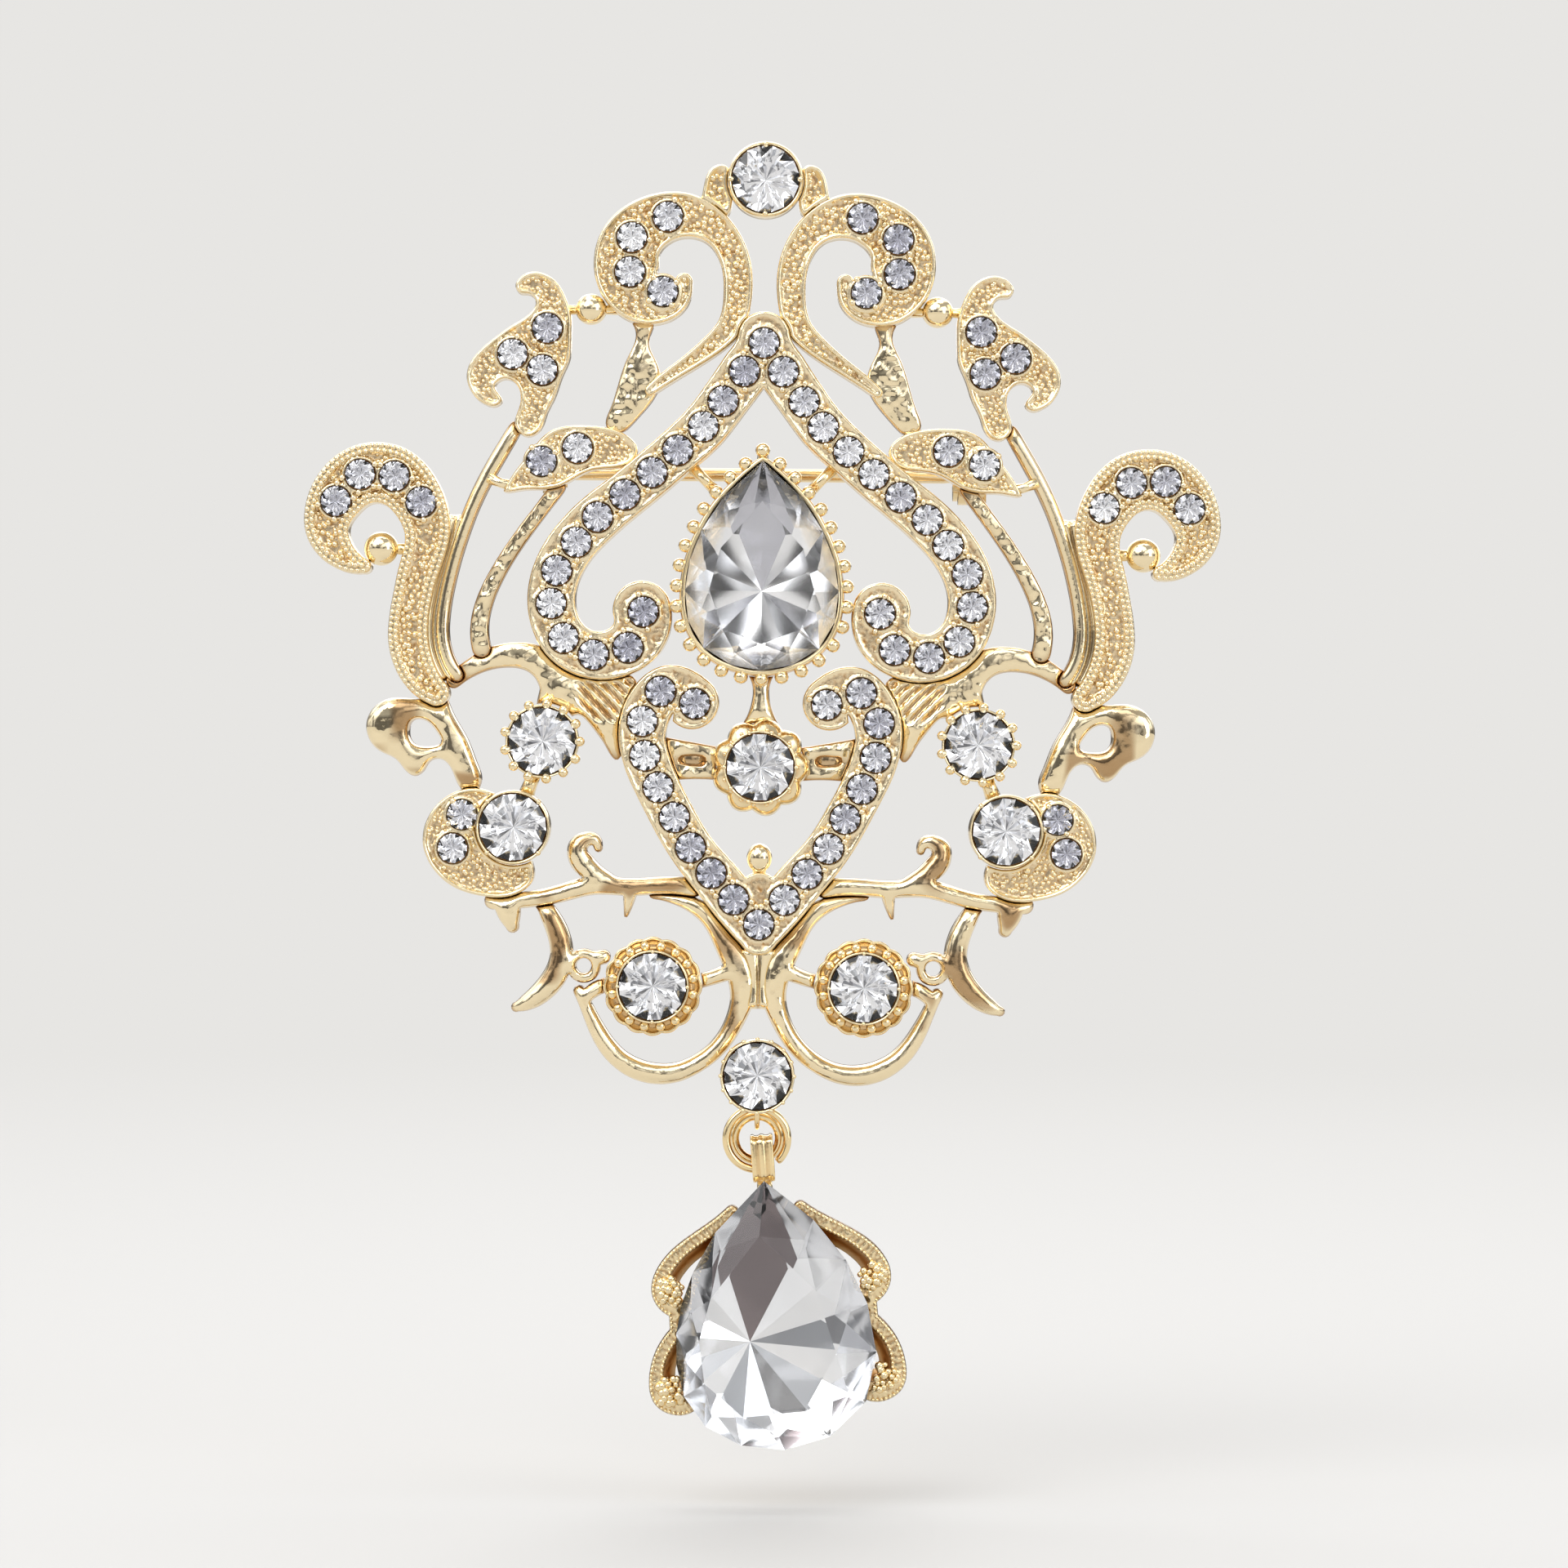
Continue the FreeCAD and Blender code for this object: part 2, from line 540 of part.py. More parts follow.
def pin_stem():
    """Wire with a drilled eye at the hinge and a ground point at the catch."""
    taper_x = PIN_TIP_X - PIN_TAPER
    along = V(1, 0, 0)
    eye = Part.makeCylinder(EYE_DIA / 2, EYE_WIDTH, V(HINGE_X, -EYE_WIDTH / 2, 0), V(0, 1, 0))
    wire = Part.makeCylinder(PIN_DIA / 2, taper_x - HINGE_X, V(HINGE_X, 0, 0), along)
    tip = Part.makeCone(PIN_DIA / 2, PIN_POINT_RADIUS, PIN_TAPER, V(taper_x, 0, 0), along)
    bore = Part.makeCylinder(RIVET_DIA / 2 + RUNNING_FIT, 3, V(HINGE_X, -1.5, 0), V(0, 1, 0))
    return joined([eye, wire, tip]).cut(bore)


def catch_slot(length):
    """Slot that lets the pin wire in from behind, centred on the catch."""
    half = CATCH_SLOT / 2
    return Part.makeBox(length, CATCH_SLOT, 5, V(CATCH_X - length / 2, -half, -5))


def across(radius, x, length):
    return Part.makeCylinder(radius, length, V(x, 0, 0), V(1, 0, 0))


def catch_base():
    """Pad and open ring that hold the safety roller."""
    start = CATCH_X - CATCH_LENGTH / 2
    neck = Part.makeBox(CATCH_LENGTH, CATCH_NECK, BACK - PAD_THICK, V(start, -CATCH_NECK / 2, 0))
    ring = across(CATCH_OUTER_DIA / 2, start, CATCH_LENGTH)
    bore = across(ROLLER_DIA / 2 + RUNNING_FIT, start - 1, CATCH_LENGTH + 2)
    return joined([pad(CATCH_X), neck, ring]).cut(bore).cut(catch_slot(CATCH_LENGTH + 1))


def catch_roller():
    """Slotted drum with two flanges and a thumb lever; turning it closes the catch."""
    reach = CATCH_LENGTH / 2 + FLANGE_GAP
    drum = across(ROLLER_DIA / 2, CATCH_X - reach, 2 * reach)
    near = across(FLANGE_DIA / 2, CATCH_X - reach - FLANGE_THICK, FLANGE_THICK)
    far = across(FLANGE_DIA / 2, CATCH_X + reach, FLANGE_THICK)
    lever_x = CATCH_X + reach
    lever = Part.makeBox(LEVER_THICK, LEVER_LENGTH, LEVER_WIDTH, V(lever_x, -LEVER_LENGTH, -LEVER_WIDTH / 2))
    thumb = Part.makeCylinder(LEVER_WIDTH / 2, LEVER_THICK, V(lever_x, -LEVER_LENGTH, 0), V(1, 0, 0))
    bore = across(ROLLER_BORE / 2, CATCH_X - 2, 4)
    return joined([drum, near, far, lever, thumb]).cut(bore).cut(catch_slot(4))


# ------------------------------------------------------------------ link rings and drop
def torus(dia, wire, v, w, axis):
    return Part.makeTorus((dia - wire) / 2, wire / 2, V(0, v, w), axis)


def jump_ring():
    """Open link ring; its two ends nearly meet at the lower right."""
    ring = torus(JUMP_RING_DIA, JUMP_WIRE, RING_CENTRE_V, JUMP_RING_W, OUT)
    gap = Part.makeBox(4, JUMP_GAP, 2, V(0, -JUMP_GAP / 2, -1))
    gap.rotate(V(0, 0, 0), OUT, JUMP_GAP_ANGLE)
    gap.translate(V(0, RING_CENTRE_V, JUMP_RING_W))
    return ring.cut(gap)


def inner_ring():
    return torus(INNER_RING_DIA, INNER_WIRE, RING_CENTRE_V, INNER_RING_W, OUT)


def hanger_loop():
    """Edge-on loop behind the base cup that carries the link rings."""
    loop = torus(HANGER_HOLE + 2 * HANGER_WIRE, HANGER_WIRE, HANGER_V, HANGER_W, V(1, 0, 0))
    foot_v = HANGER_V + HANGER_HOLE / 2 + HANGER_WIRE
    foot = disc(0, foot_v, HANGER_FOOT, HANGER_W + 0.2, BASE_CUP_BACK + 0.3)
    return joined([loop, foot])


def swung(shape):
    """Turn a piece of the drop from plumb to the angle it rests at."""
    shape.translate(V(DROP_X, 0, 0))
    shape.rotate(V(DROP_X, RING_CENTRE_V, 0), OUT, DROP_REST_ANGLE)
    return shape


def below(x, depth, half=None):
    """Point of the drop a given depth under the ring centre, with a half width if given."""
    v = RING_CENTRE_V - depth
    return (x, v) if half is None else (x, v, half)


def drop_stone_solid(extra=0.0):
    """Drop stone hanging plumb, or the room it needs when given an extra margin."""
    width = DROP_WIDTH + 2 * extra
    length = DROP_LENGTH + 2 * extra
    tip_v = RING_CENTRE_V - DROP_TIP + extra
    return pear_stone(width, length, 0, tip_v, DROP_LEVELS)


def drop_bezel():
    """Shallow tray behind the drop stone; the stone overhangs it all round."""
    tip_v = RING_CENTRE_V - DROP_TIP
    tray = pear_slab(DROP_WIDTH, DROP_LENGTH, 0, tip_v, -TRAY_INSET, DROP_BACK, TRAY_FRONT)
    return tray.cut(drop_stone_solid(SEAT_CLEARANCE)).Solids[0]


def drop_bail():
    """Strap loop over the link rings, with a neck to the top of the drop's tray."""
    top = RING_CENTRE_V + 0.3
    inside_low = RING_CENTRE_V - JUMP_RING_DIA / 2 - 0.13
    low = inside_low - BAIL_THICK
    half = BAIL_HOLE / 2
    outer = Part.makeBox(BAIL_WIDTH, top - low, BAIL_HOLE + 2 * BAIL_THICK,
                         V(-BAIL_WIDTH / 2, low, BAIL_W - half - BAIL_THICK))
    hole = Part.makeBox(BAIL_WIDTH + 1, top - BAIL_THICK - inside_low, BAIL_HOLE,
                        V(-BAIL_WIDTH / 2 - 0.5, inside_low, BAIL_W - half))
    corners = [e for e in outer.Edges if abs(e.tangentAt(e.FirstParameter).x) > 0.99]
    strap = outer.makeFillet(BAIL_BEND, corners).cut(hole)
    neck = Part.makeBox(1.2, 1.5, 0.8, V(-0.6, low - 1.3, DROP_BACK))
    return joined([strap, neck])


def drop_lace():
    """One side's filigree wings, two lobes joined along the tray, that show beside the stone."""
    upper = [below(2.3, 4.7, 0.45), below(5.2, 6.6, 0.45), below(7.0, 8.2, 0.5), below(7.5, 9.6, 0.55),
             below(6.9, 10.6, 0.65), below(6.0, 10.9, 0.55)]
    lower = [below(6.2, 12.2, 0.45), below(7.5, 13.6, 0.45), below(8.1, 15.4, 0.5),
             below(7.8, 16.8, 0.65), below(6.9, 17.3, 0.7), below(5.8, 17.1, 0.6)]
    root = [below(6.5, 10.8, 0.45), below(6.55, 12.3, 0.45)]
    return joined([ribbon(path, DROP_BACK, LACE_FRONT) for path in (upper, lower, root)])


# ------------------------------------------------------------------ assembly
def assemble():
    parts = {}
    cup_radius = CHATON_DIA / 2 + CUP_WALL

    parts["crown_cup"] = cup(*CROWN_CUP, cup_radius)
    parts["pear_cup"] = pear_cup()
    parts["heart_cup"] = cup(*HEART_CUP, cup_radius + 0.4)
    parts["base_cup"] = cup(*BASE_CUP, cup_radius, BASE_CUP_BACK)
    middle = [parts[name] for name in ("crown_cup", "pear_cup", "heart_cup", "base_cup")]

    right = {}
    right["cheek_cup"] = cup(*CHEEK_CUP, cup_radius)
    right["jowl_cup"] = trimmed(jowl_cup(), [right["cheek_cup"]])
    right["lower_cup"] = lower_cup()
    cups = [right[name] for name in ("cheek_cup", "jowl_cup", "lower_cup")]
    all_cups = middle + cups + [mirrored(c) for c in cups]

    spade_places = [SPADE_APEX] + mirrored_places(SPADE_STONES)
    heart_places = [HEART_APEX] + mirrored_places(HEART_STONES)
    spade = trimmed(spade_frame(), all_cups)
    heart = trimmed(heart_frame(), all_cups + [spade])
    parts["center_post"] = trimmed(center_post(), middle)

    placed = middle + cups + [spade, heart, parts["center_post"]]
    builders = [
        ("heart_arm", heart_arm, [], STRAP_FRONT),
        ("crown_blade", crown_blade, [], STRAP_FRONT),
        ("crown_scroll", crown_scroll, CROWN_STONES, SCROLL_FRONT),
        ("side_scroll", side_scroll, SIDE_STONES, SCROLL_FRONT),
        ("shoulder_leaf", shoulder_leaf, SHOULDER_STONES, LEAF_FRONT),
        ("flame_leaf", flame_leaf, FLAME_STONES, LEAF_FRONT),
        ("lobe", lobe, LOBE_STONES, LEAF_FRONT),
        ("outer_arc", outer_arc, [], STRAP_FRONT),
        ("inner_arm", inner_arm, [], STRAP_FRONT),
        ("hip_bracket", hip_bracket, [], STRAP_FRONT),
        ("hook_leaf", hook_leaf, [], STRAP_FRONT),
        ("thorn_branch", thorn_branch, [], STRAP_FRONT),
        ("crescent", crescent, [], STRAP_FRONT),
        ("bottom_loop", bottom_loop, [], STRAP_FRONT),
    ]
    for name, build, stones, front in builders:
        piece = trimmed(build(), placed)
        placed.append(piece)
        right[name] = seated(piece, stones, front)
    parts["spade_frame"] = seated(spade, spade_places, BAND_FRONT)
    parts["heart_frame"] = seated(heart, heart_places, BAND_FRONT)

    beads = [trimmed(ball(*accent), placed) for accent in BALL_ACCENTS]
    egg = trimmed(ball(*EGG), placed)
    parts["ball_accents"] = Part.Compound(beads + [mirrored(b) for b in beads] + [egg])

    arms = right.pop("heart_arm")
    parts["heart_arms"] = Part.Compound([arms, mirrored(arms)])
    for name, shape in right.items():
        parts[name + "_right"] = shape
        parts[name + "_left"] = mirrored(shape)

    parts["hinge_bracket"] = hinge_bracket()
    parts["hinge_rivet"] = hinge_rivet()
    parts["pin_stem"] = pin_stem()
    parts["catch_base"] = catch_base()
    parts["catch_roller"] = catch_roller()

    parts["hanger_loop"] = trimmed(hanger_loop(), [parts["base_cup"]])
    parts["jump_ring"] = jump_ring()
    parts["inner_ring"] = inner_ring()

    tray = drop_bezel()
    stone = drop_stone_solid()
    bail = trimmed(drop_bail(), [tray, stone])
    wing = trimmed(drop_lace(), [tray, stone])
    parts["drop_bezel"] = swung(tray)
    parts["drop_stone"] = swung(stone)
    parts["drop_bail"] = swung(bail)
    parts["drop_lace"] = Part.Compound([swung(mirrored(wing)), swung(wing)])

    parts["pear_stone"] = centre_stone()
    chatons = [CROWN_CUP, HEART_CUP, BASE_CUP] + mirrored_places([CHEEK_CUP, JOWL_CUP, LOWER_CUP])
    parts["round_stones"] = Part.Compound([chaton(x, v) for x, v in chatons])
    parts["spade_melee"] = Part.Compound(melee(spade_places, BAND_FRONT))
    parts["heart_melee"] = Part.Compound(melee(heart_places, BAND_FRONT))
    scroll_places = mirrored_places(CROWN_STONES + SIDE_STONES)
    parts["scroll_melee"] = Part.Compound(melee(scroll_places, SCROLL_FRONT))
    leaf_places = mirrored_places(FLAME_STONES + SHOULDER_STONES + LOBE_STONES)
    parts["leaf_melee"] = Part.Compound(melee(leaf_places, LEAF_FRONT))
    return parts


def upright(shape):
    """Turn the drawing so that v points up along +Z and the front faces -Y."""
    shape.rotate(V(0, 0, 0), V(1, 0, 0), 90)
    return shape


os.makedirs("parts", exist_ok=True)
for node, shape in assemble().items():
    upright(shape).exportStep("parts/" + node + ".step")
    print(node, len(shape.Solids), round(shape.Volume, 2), shape.isValid())
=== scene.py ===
from math import atan2, copysign, cos, floor, hypot, pi, radians, sin

import bpy
import numpy as np
from mathutils import Matrix, Vector
from mathutils.geometry import delaunay_2d_cdt
from numpy.linalg import norm


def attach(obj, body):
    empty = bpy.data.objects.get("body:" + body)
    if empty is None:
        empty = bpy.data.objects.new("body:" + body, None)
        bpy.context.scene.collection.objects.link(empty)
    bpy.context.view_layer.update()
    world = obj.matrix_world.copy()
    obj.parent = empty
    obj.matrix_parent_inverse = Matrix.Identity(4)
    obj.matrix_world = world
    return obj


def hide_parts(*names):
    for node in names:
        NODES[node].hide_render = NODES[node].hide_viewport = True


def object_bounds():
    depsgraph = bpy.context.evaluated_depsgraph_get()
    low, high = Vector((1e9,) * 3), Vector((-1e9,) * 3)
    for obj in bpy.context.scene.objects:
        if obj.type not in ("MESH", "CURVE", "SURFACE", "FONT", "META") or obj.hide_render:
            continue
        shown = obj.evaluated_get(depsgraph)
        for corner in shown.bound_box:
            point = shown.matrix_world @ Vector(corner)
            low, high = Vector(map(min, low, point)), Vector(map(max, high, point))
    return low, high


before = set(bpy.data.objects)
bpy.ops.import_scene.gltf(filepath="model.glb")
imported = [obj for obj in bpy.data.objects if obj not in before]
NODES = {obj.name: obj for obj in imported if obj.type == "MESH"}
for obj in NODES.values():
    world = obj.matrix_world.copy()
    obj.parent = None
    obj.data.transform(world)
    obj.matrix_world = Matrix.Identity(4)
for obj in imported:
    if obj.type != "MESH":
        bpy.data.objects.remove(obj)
cad_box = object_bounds()

# Looks of an openwork brooch, drawn in millimetres as (x, v, w): x right, v up, and w out of the
# page towards the viewer.  to_row() turns that into the row frame in metres.  Every casting takes
# its outline from its own CAD node, and gets a relief: rims, domes, granules and seats.  Each point
# also gets a painted light value: 0 for painted shade in a recess, 1 for a painted highlight on a
# polished crest.

MM = 0.001
TURN = 2 * pi

# ---- sizes
EDGE_STEP = 0.2            # spacing of points along an outline
GRID_STEP = 0.17           # inside it
BACK_STEP = 0.6            # and on its hollowed back
FLAT_LEVEL = 0.25          # front faces this near the top one belong to the front
CORNER = radians(32)  # a sharper turn than this stays a corner
LEAST_AREA = 0.04          # a smaller loop is a slip of the CAD mesh
SEAT_AREA = 5.0            # a hole smaller than this, round a small stone, is its seat
SEAT = 0.97                # radius of the pit under a small stone
COLLAR = (0.99, 0.26)      # start and width of the collar round it
SEAT_RINGS = (0.92, 0.99, 1.06, 1.14, 1.22, 1.3)  # radii of extra points there
SMALL_STONE, ROUND_STONE = 0.99, 2.24  # radii
BEAD = 0.23                # radius of a prong bead on the pave bands
SHARING = 2.9              # stones nearer than this share their prongs
PRONG = (0.96, 0.74)       # place of a prong from its stone, along the row and across it
BACK_HOLLOW = 0.45         # how far the castings are hollowed behind
BACK_RIM = 0.45            # width of the rim left round the hollow

# levels w of front and back
BAND_TOP, SCROLL_TOP, LEAF_TOP = 5.4, 5.2, 5.0
GRANULAR_BACK, POLISHED_BASE, POLISHED_BACK = 3.0, 4.0, 3.2
LACE_TOP, LACE_BACK = 4.55, 3.2
CUP_FOOT, CUP_BEADS = 3.2, 5.95


def to_row(points):
    p = np.asarray(points, float)
    return np.stack([p[:, 0], -p[:, 2], p[:, 1]], 1) * MM


def lifted(points, w):
    """Points (x, v) at one level w, or at a level each."""
    return np.column_stack([points, np.broadcast_to(w, len(points))])


def drawn(node):
    """Vertices (x, v, w) in mm and triangles of a CAD node."""
    mesh = NODES[node].data
    flat = np.zeros(len(mesh.vertices) * 3)
    mesh.vertices.foreach_get("co", flat)
    co = flat.reshape(-1, 3) / MM
    mesh.calc_loop_triangles()
    tri = np.zeros(len(mesh.loop_triangles) * 3, int)
    mesh.loop_triangles.foreach_get("vertices", tri)
    return np.stack([co[:, 0], co[:, 2], -co[:, 1]], 1), tri.reshape(-1, 3)


def box_of(node):
    co, _ = drawn(node)
    return co.min(0), co.max(0)


def islands(node):
    """Vertices of each separate solid of a node, as a list of arrays."""
    co, tri = drawn(node)
    keys = np.unique(np.round(co, 3), axis=0, return_inverse=True)[1].ravel()
    owner = np.arange(keys.max() + 1)

    def root(i):
        while owner[i] != i:
            owner[i] = owner[owner[i]]
            i = owner[i]
        return i

    for a, b, c in keys[tri]:
        owner[root(a)] = root(b)
        owner[root(b)] = root(c)
    label = np.array([root(k) for k in keys])
    return [co[label == k] for k in np.unique(label)]


def middle(points):
    return (points.min(0) + points.max(0)) / 2


def stone_places(node):
    """Centre (x, v) and table level w of each round stone of a node."""
    return sorted((*middle(points)[:2], points[:, 2].max()) for points in islands(node))


MELEE = ("spade", "heart", "scroll", "leaf")
SMALL_PLACES = [place for kind in MELEE for place in stone_places(kind + "_melee")]
SMALL_XV = np.array(SMALL_PLACES)[:, :2]
ROUND_PLACES = stone_places("round_stones")


# ---- outlines
def chained(edges):
    """Closed loops of vertex numbers from directed edges."""
    after = {}
    for a, b in edges:
        after.setdefault(a, []).append(b)
    loops = []
    while after:
        loop = [next(iter(after))]
        while True:
            following = after[loop[-1]].pop()
            if not after[loop[-1]]:
                del after[loop[-1]]
            if following == loop[0] or following not in after:
                break
            loop.append(following)
        loops.append(loop)
    return loops


def doubled(points, faces):
    """Cross product of two sides of each triangle: twice its area."""
    a, b, c = (points[faces[:, k]] for k in range(3))
    return np.cross(b - a, c - a)


def crossings(a, b, v):
    """Where a level line meets the sides of an outline, which run from a to b."""
    cut = (a[:, 1] > v) != (b[:, 1] > v)
    return a[cut, 0] + (v - a[cut, 1]) / (b[cut, 1] - a[cut, 1]) * (b[cut, 0] - a[cut, 0])


def small_stones_in(low, high):
    return SMALL_XV[np.all((SMALL_XV > low) & (SMALL_XV < high), axis=1)]


def holds_stone(loop):
    """Whether a small stone's centre lies inside a hole."""
    near = small_stones_in(loop.min(0), loop.max(0))
    return any(np.sum(crossings(loop, np.roll(loop, -1, 0), v) > x) % 2 for x, v in near)


def front_loops(node):
    """Outlines of a casting's front face, metal on the left, without the seats of its stones."""
    co, tri = drawn(node)
    a = co[tri[:, 0]]
    normal = doubled(co, tri)
    level = normal[:, 2] / (norm(normal, axis=1) + 1e-12) > 0.999
    facing = level & (a[:, 2] > co[:, 2].max() - FLAT_LEVEL)
    flat, index = np.unique(np.round(co[:, :2], 2), axis=0, return_inverse=True)
    faces = index.ravel()[tri[facing]]
    used = dict.fromkeys((t[k], t[(k + 1) % 3]) for t in faces for k in range(3))
    loops = []
    for numbers in chained([(i, j) for i, j in used if (j, i) not in used]):
        loop = flat[numbers]
        area = np.cross(loop, np.roll(loop, -1, 0)).sum() / 2
        seat = -SEAT_AREA < area < 0 and holds_stone(loop)
        if len(loop) >= 3 and abs(area) >= LEAST_AREA and not seat:
            loops.append(loop)
    return loops


def resampled(loop, step):
    """The loop with even points: a smooth curve between its corners."""
    plane = loop[:, 0] + 1j * loop[:, 1]
    turn = np.abs(np.angle((np.roll(plane, -1) - plane) * np.conj(plane - np.roll(plane, 1))))
    corners = [int(k) for k in np.nonzero(turn > CORNER)[0]] or [0]
    points = []
    for first, last in zip(corners, corners[1:] + corners[:1]):
        count = (last - first) % len(loop) or len(loop)
        run = loop[[(first + i) % len(loop) for i in range(count + 1)]]
        closed = len(corners) == 1 and turn[first] <= CORNER
        points.append(smooth_run(run, step, closed))
    return np.vstack(points)


def smooth_run(run, step, closed):
    """Even points on a smooth curve through run, without its last point."""
    length = np.concatenate([[0], np.cumsum(norm(np.diff(run, axis=0), axis=1))])
    count = max(1, int(round(length[-1] / step)))
    at = np.linspace(0, length[-1], count + 1)[:-1]
    slope = np.gradient(run, length, axis=0)
    if closed:
        slope[0] = slope[-1] = (run[1] - run[-2]) / (length[1] + length[-1] - length[-2])
    k = np.clip(np.searchsorted(length, at, side="right") - 1, 0, len(run) - 2)
    h = (length[k + 1] - length[k])[:, None]
    t = (at[:, None] - length[k][:, None]) / h
    return ((2 * t**3 - 3 * t**2 + 1) * run[k] + (t**3 - 2 * t**2 + t) * h * slope[k]
            + (3 * t**2 - 2 * t**3) * run[k + 1] + (t**3 - t**2) * h * slope[k + 1])


def inward(loop):
    """Unit normals of a loop, towards the metal."""
    along = np.roll(loop, -1, 0) - np.roll(loop, 1, 0)
    along /= norm(along, axis=1)[:, None] + 1e-12
    return np.stack([-along[:, 1], along[:, 0]], 1)


def walked(line, pitch=None, count=None):
    """Points at even steps along a closed line, each with the length of the side it lies on."""
    side = norm(np.diff(line, axis=0, append=line[:1]), axis=1)
    reach = np.concatenate([[0], np.cumsum(side)])
    for at in np.arange(0, reach[-1], pitch or reach[-1] / count):
        k = min(int(np.searchsorted(reach, at, side="right")) - 1, len(line) - 1)
        t = (at - reach[k]) / max(side[k], 1e-9)
        yield line[k] * (1 - t) + line[(k + 1) % len(line)] * t, side[k]


def ringed(n):
    """Pairs of neighbours in a closed row of n points."""
    return [(i, (i + 1) % n) for i in range(n)]


class Outline:
    """Several loops, with the distance of any point from them and the place along them."""

    def __init__(self, loops):
        self.loops, self.sides = loops, []
        for loop in loops:
            first = len(self.sides)
            self.sides += [(first + i, first + j) for i, j in ringed(len(loop))]
        self.a = np.vstack(loops)
        self.b = self.a[[j for _, j in self.sides]]
        self.ab = self.b - self.a
        self.length2 = np.maximum((self.ab**2).sum(1), 1e-12)
        self.start = np.concatenate([[0], np.cumsum(np.sqrt(self.length2))[:-1]])

    def measure(self, p, batch=1500):
        """Signed distance inside, and arc length of the nearest border point."""
        far, along = np.zeros(len(p)), np.zeros(len(p))
        for low in range(0, len(p), batch):
            q = p[low:low + batch]
            rel = q[:, None, :] - self.a[None]
            t = np.clip((rel * self.ab[None]).sum(2) / self.length2, 0, 1)
            d2 = ((rel - t[:, :, None] * self.ab[None])**2).sum(2)
            k = d2.argmin(1)
            rows = np.arange(len(q))
            level = q[:, None, 1]
            crosses = (self.a[None, :, 1] > level) != (self.b[None, :, 1] > level)
            with np.errstate(divide="ignore", invalid="ignore"):
                x = self.a[:, 0] + (level - self.a[:, 1]) / self.ab[:, 1] * self.ab[:, 0]
            inside = (crosses & (q[:, None, 0] < x)).sum(1) % 2 == 1
            far[low:low + batch] = np.sqrt(d2[rows, k]) * np.where(inside, 1, -1)
            along[low:low + batch] = self.start[k] + t[rows, k] * np.sqrt(self.length2[k])
        return far, along

    def depth(self, x_v):
        """Signed distance inside of one point."""
        return self.measure(x_v[None])[0][0]


def outline_of(node):
    return Outline([resampled(loop, EDGE_STEP) for loop in front_loops(node)])


def spaced(groups, gap):
    """Points of all groups in turn, leaving out those nearer than gap to one already taken."""
    taken, cells = [], {}
    for group, always in groups:
        for x, v in group:
            i, j = floor(x / gap), floor(v / gap)
            near = (q for di in (-1, 0, 1) for dj in (-1, 0, 1)
                    for q in cells.get((i + di, j + dj), ()))
            if always or all((q[0] - x)**2 + (q[1] - v)**2 >= gap * gap for q in near):
                cells.setdefault((i, j), []).append((x, v))
                taken.append((x, v))
    return np.array(taken)


def lattice(low, high, step):
    """Points of a triangular lattice in a box."""
    rows = []
    for k, v in enumerate(np.arange(low[1], high[1], step * 0.866)):
        rows.append(lifted(np.arange(low[0] + k % 2 * step / 2, high[0], step), v))
    return np.vstack(rows)


def around(count, radius, start=0.0):
    """Even points (x, v) of a circle about the origin."""
    turns = (start + TURN * k / count for k in range(count))
    return [(radius * cos(turn), radius * sin(turn)) for turn in turns]


def filled(outline, rings, step, seats=()):
    """Triangles filling an outline, with points on lines parallel to its border."""
    border = outline.a
    groups = [(border, True)]

    def offer(points, least):
        groups.append((points[outline.measure(points)[0] > least], False))

    for centre in seats:
        for radius in SEAT_RINGS:
            count = int(max(12, round(TURN * radius / 0.19)))
            offer(centre + np.array(around(count, radius)), 0.05)
    normals = np.vstack([inward(loop) for loop in outline.loops])
    for ring in rings:
        offer(border + ring * normals, ring - 0.02)
    offer(lattice(border.min(0), border.max(0), step), rings[-1] + 0.4 * step)
    points = spaced(groups, min(0.055, step / 2))
    made = delaunay_2d_cdt([Vector(p) for p in points], outline.sides, [], 0, 1e-6)
    points = np.array([tuple(p) for p in made[0]])
    faces = np.array([f for f in made[2] if len(f) == 3])
    faces = faces[outline.measure(points[faces].mean(1))[0] > 0]
    turned = doubled(points, faces) < 0
    faces[turned] = faces[turned][:, ::-1]
    return points, faces


def blister(points, faces, far):
    """Height of a soap film blown up on the outline: half round on a strip, smooth anywhere."""
    count = len(points)
    i, j, o = (np.roll(faces, -k, axis=1).T.ravel() for k in range(3))
    one, two = points[i] - points[o], points[j] - points[o]
    cot = (one * two).sum(1) / (np.abs(np.cross(one, two)) + 1e-9)
    rows, cols = np.concatenate([i, j]), np.concatenate([j, i])
    weights = np.tile(np.clip(cot, 0.02, 5) / 2, 2)
    total = np.bincount(rows, weights, count) + 1e-9
    third = np.abs(doubled(points, faces)) / 6
    load = sum(np.bincount(faces[:, k], third, count) for k in range(3))
    free = far > 0.01

    # conjugate gradients, with the diagonal as preconditioner
    x, r = np.zeros(count), np.where(free, load, 0)
    p = r / total
    rz = float(r @ p)
    for _ in range(400):
        q = np.where(free, total * p - np.bincount(rows, weights * p[cols], count), 0)
        alpha = rz / (float(p @ q) + 1e-15)
        x += alpha * p
        r -= alpha * q
        z = np.where(free, r / total, 0)
        new = float(r @ z)
        if new < 1e-9:
            break
        p = z + new / rz * p
        rz = new
    return np.sqrt(2 * np.maximum(x, 0))


# ---- surface patterns
def scatter(i, j, seed):
    """A fixed pseudo-random number from 0 to 1 for each lattice cell."""
    n = np.sin(i * 127.1 + j * 311.7 + seed * 74.7) * 43758.5453
    return n - np.floor(n)


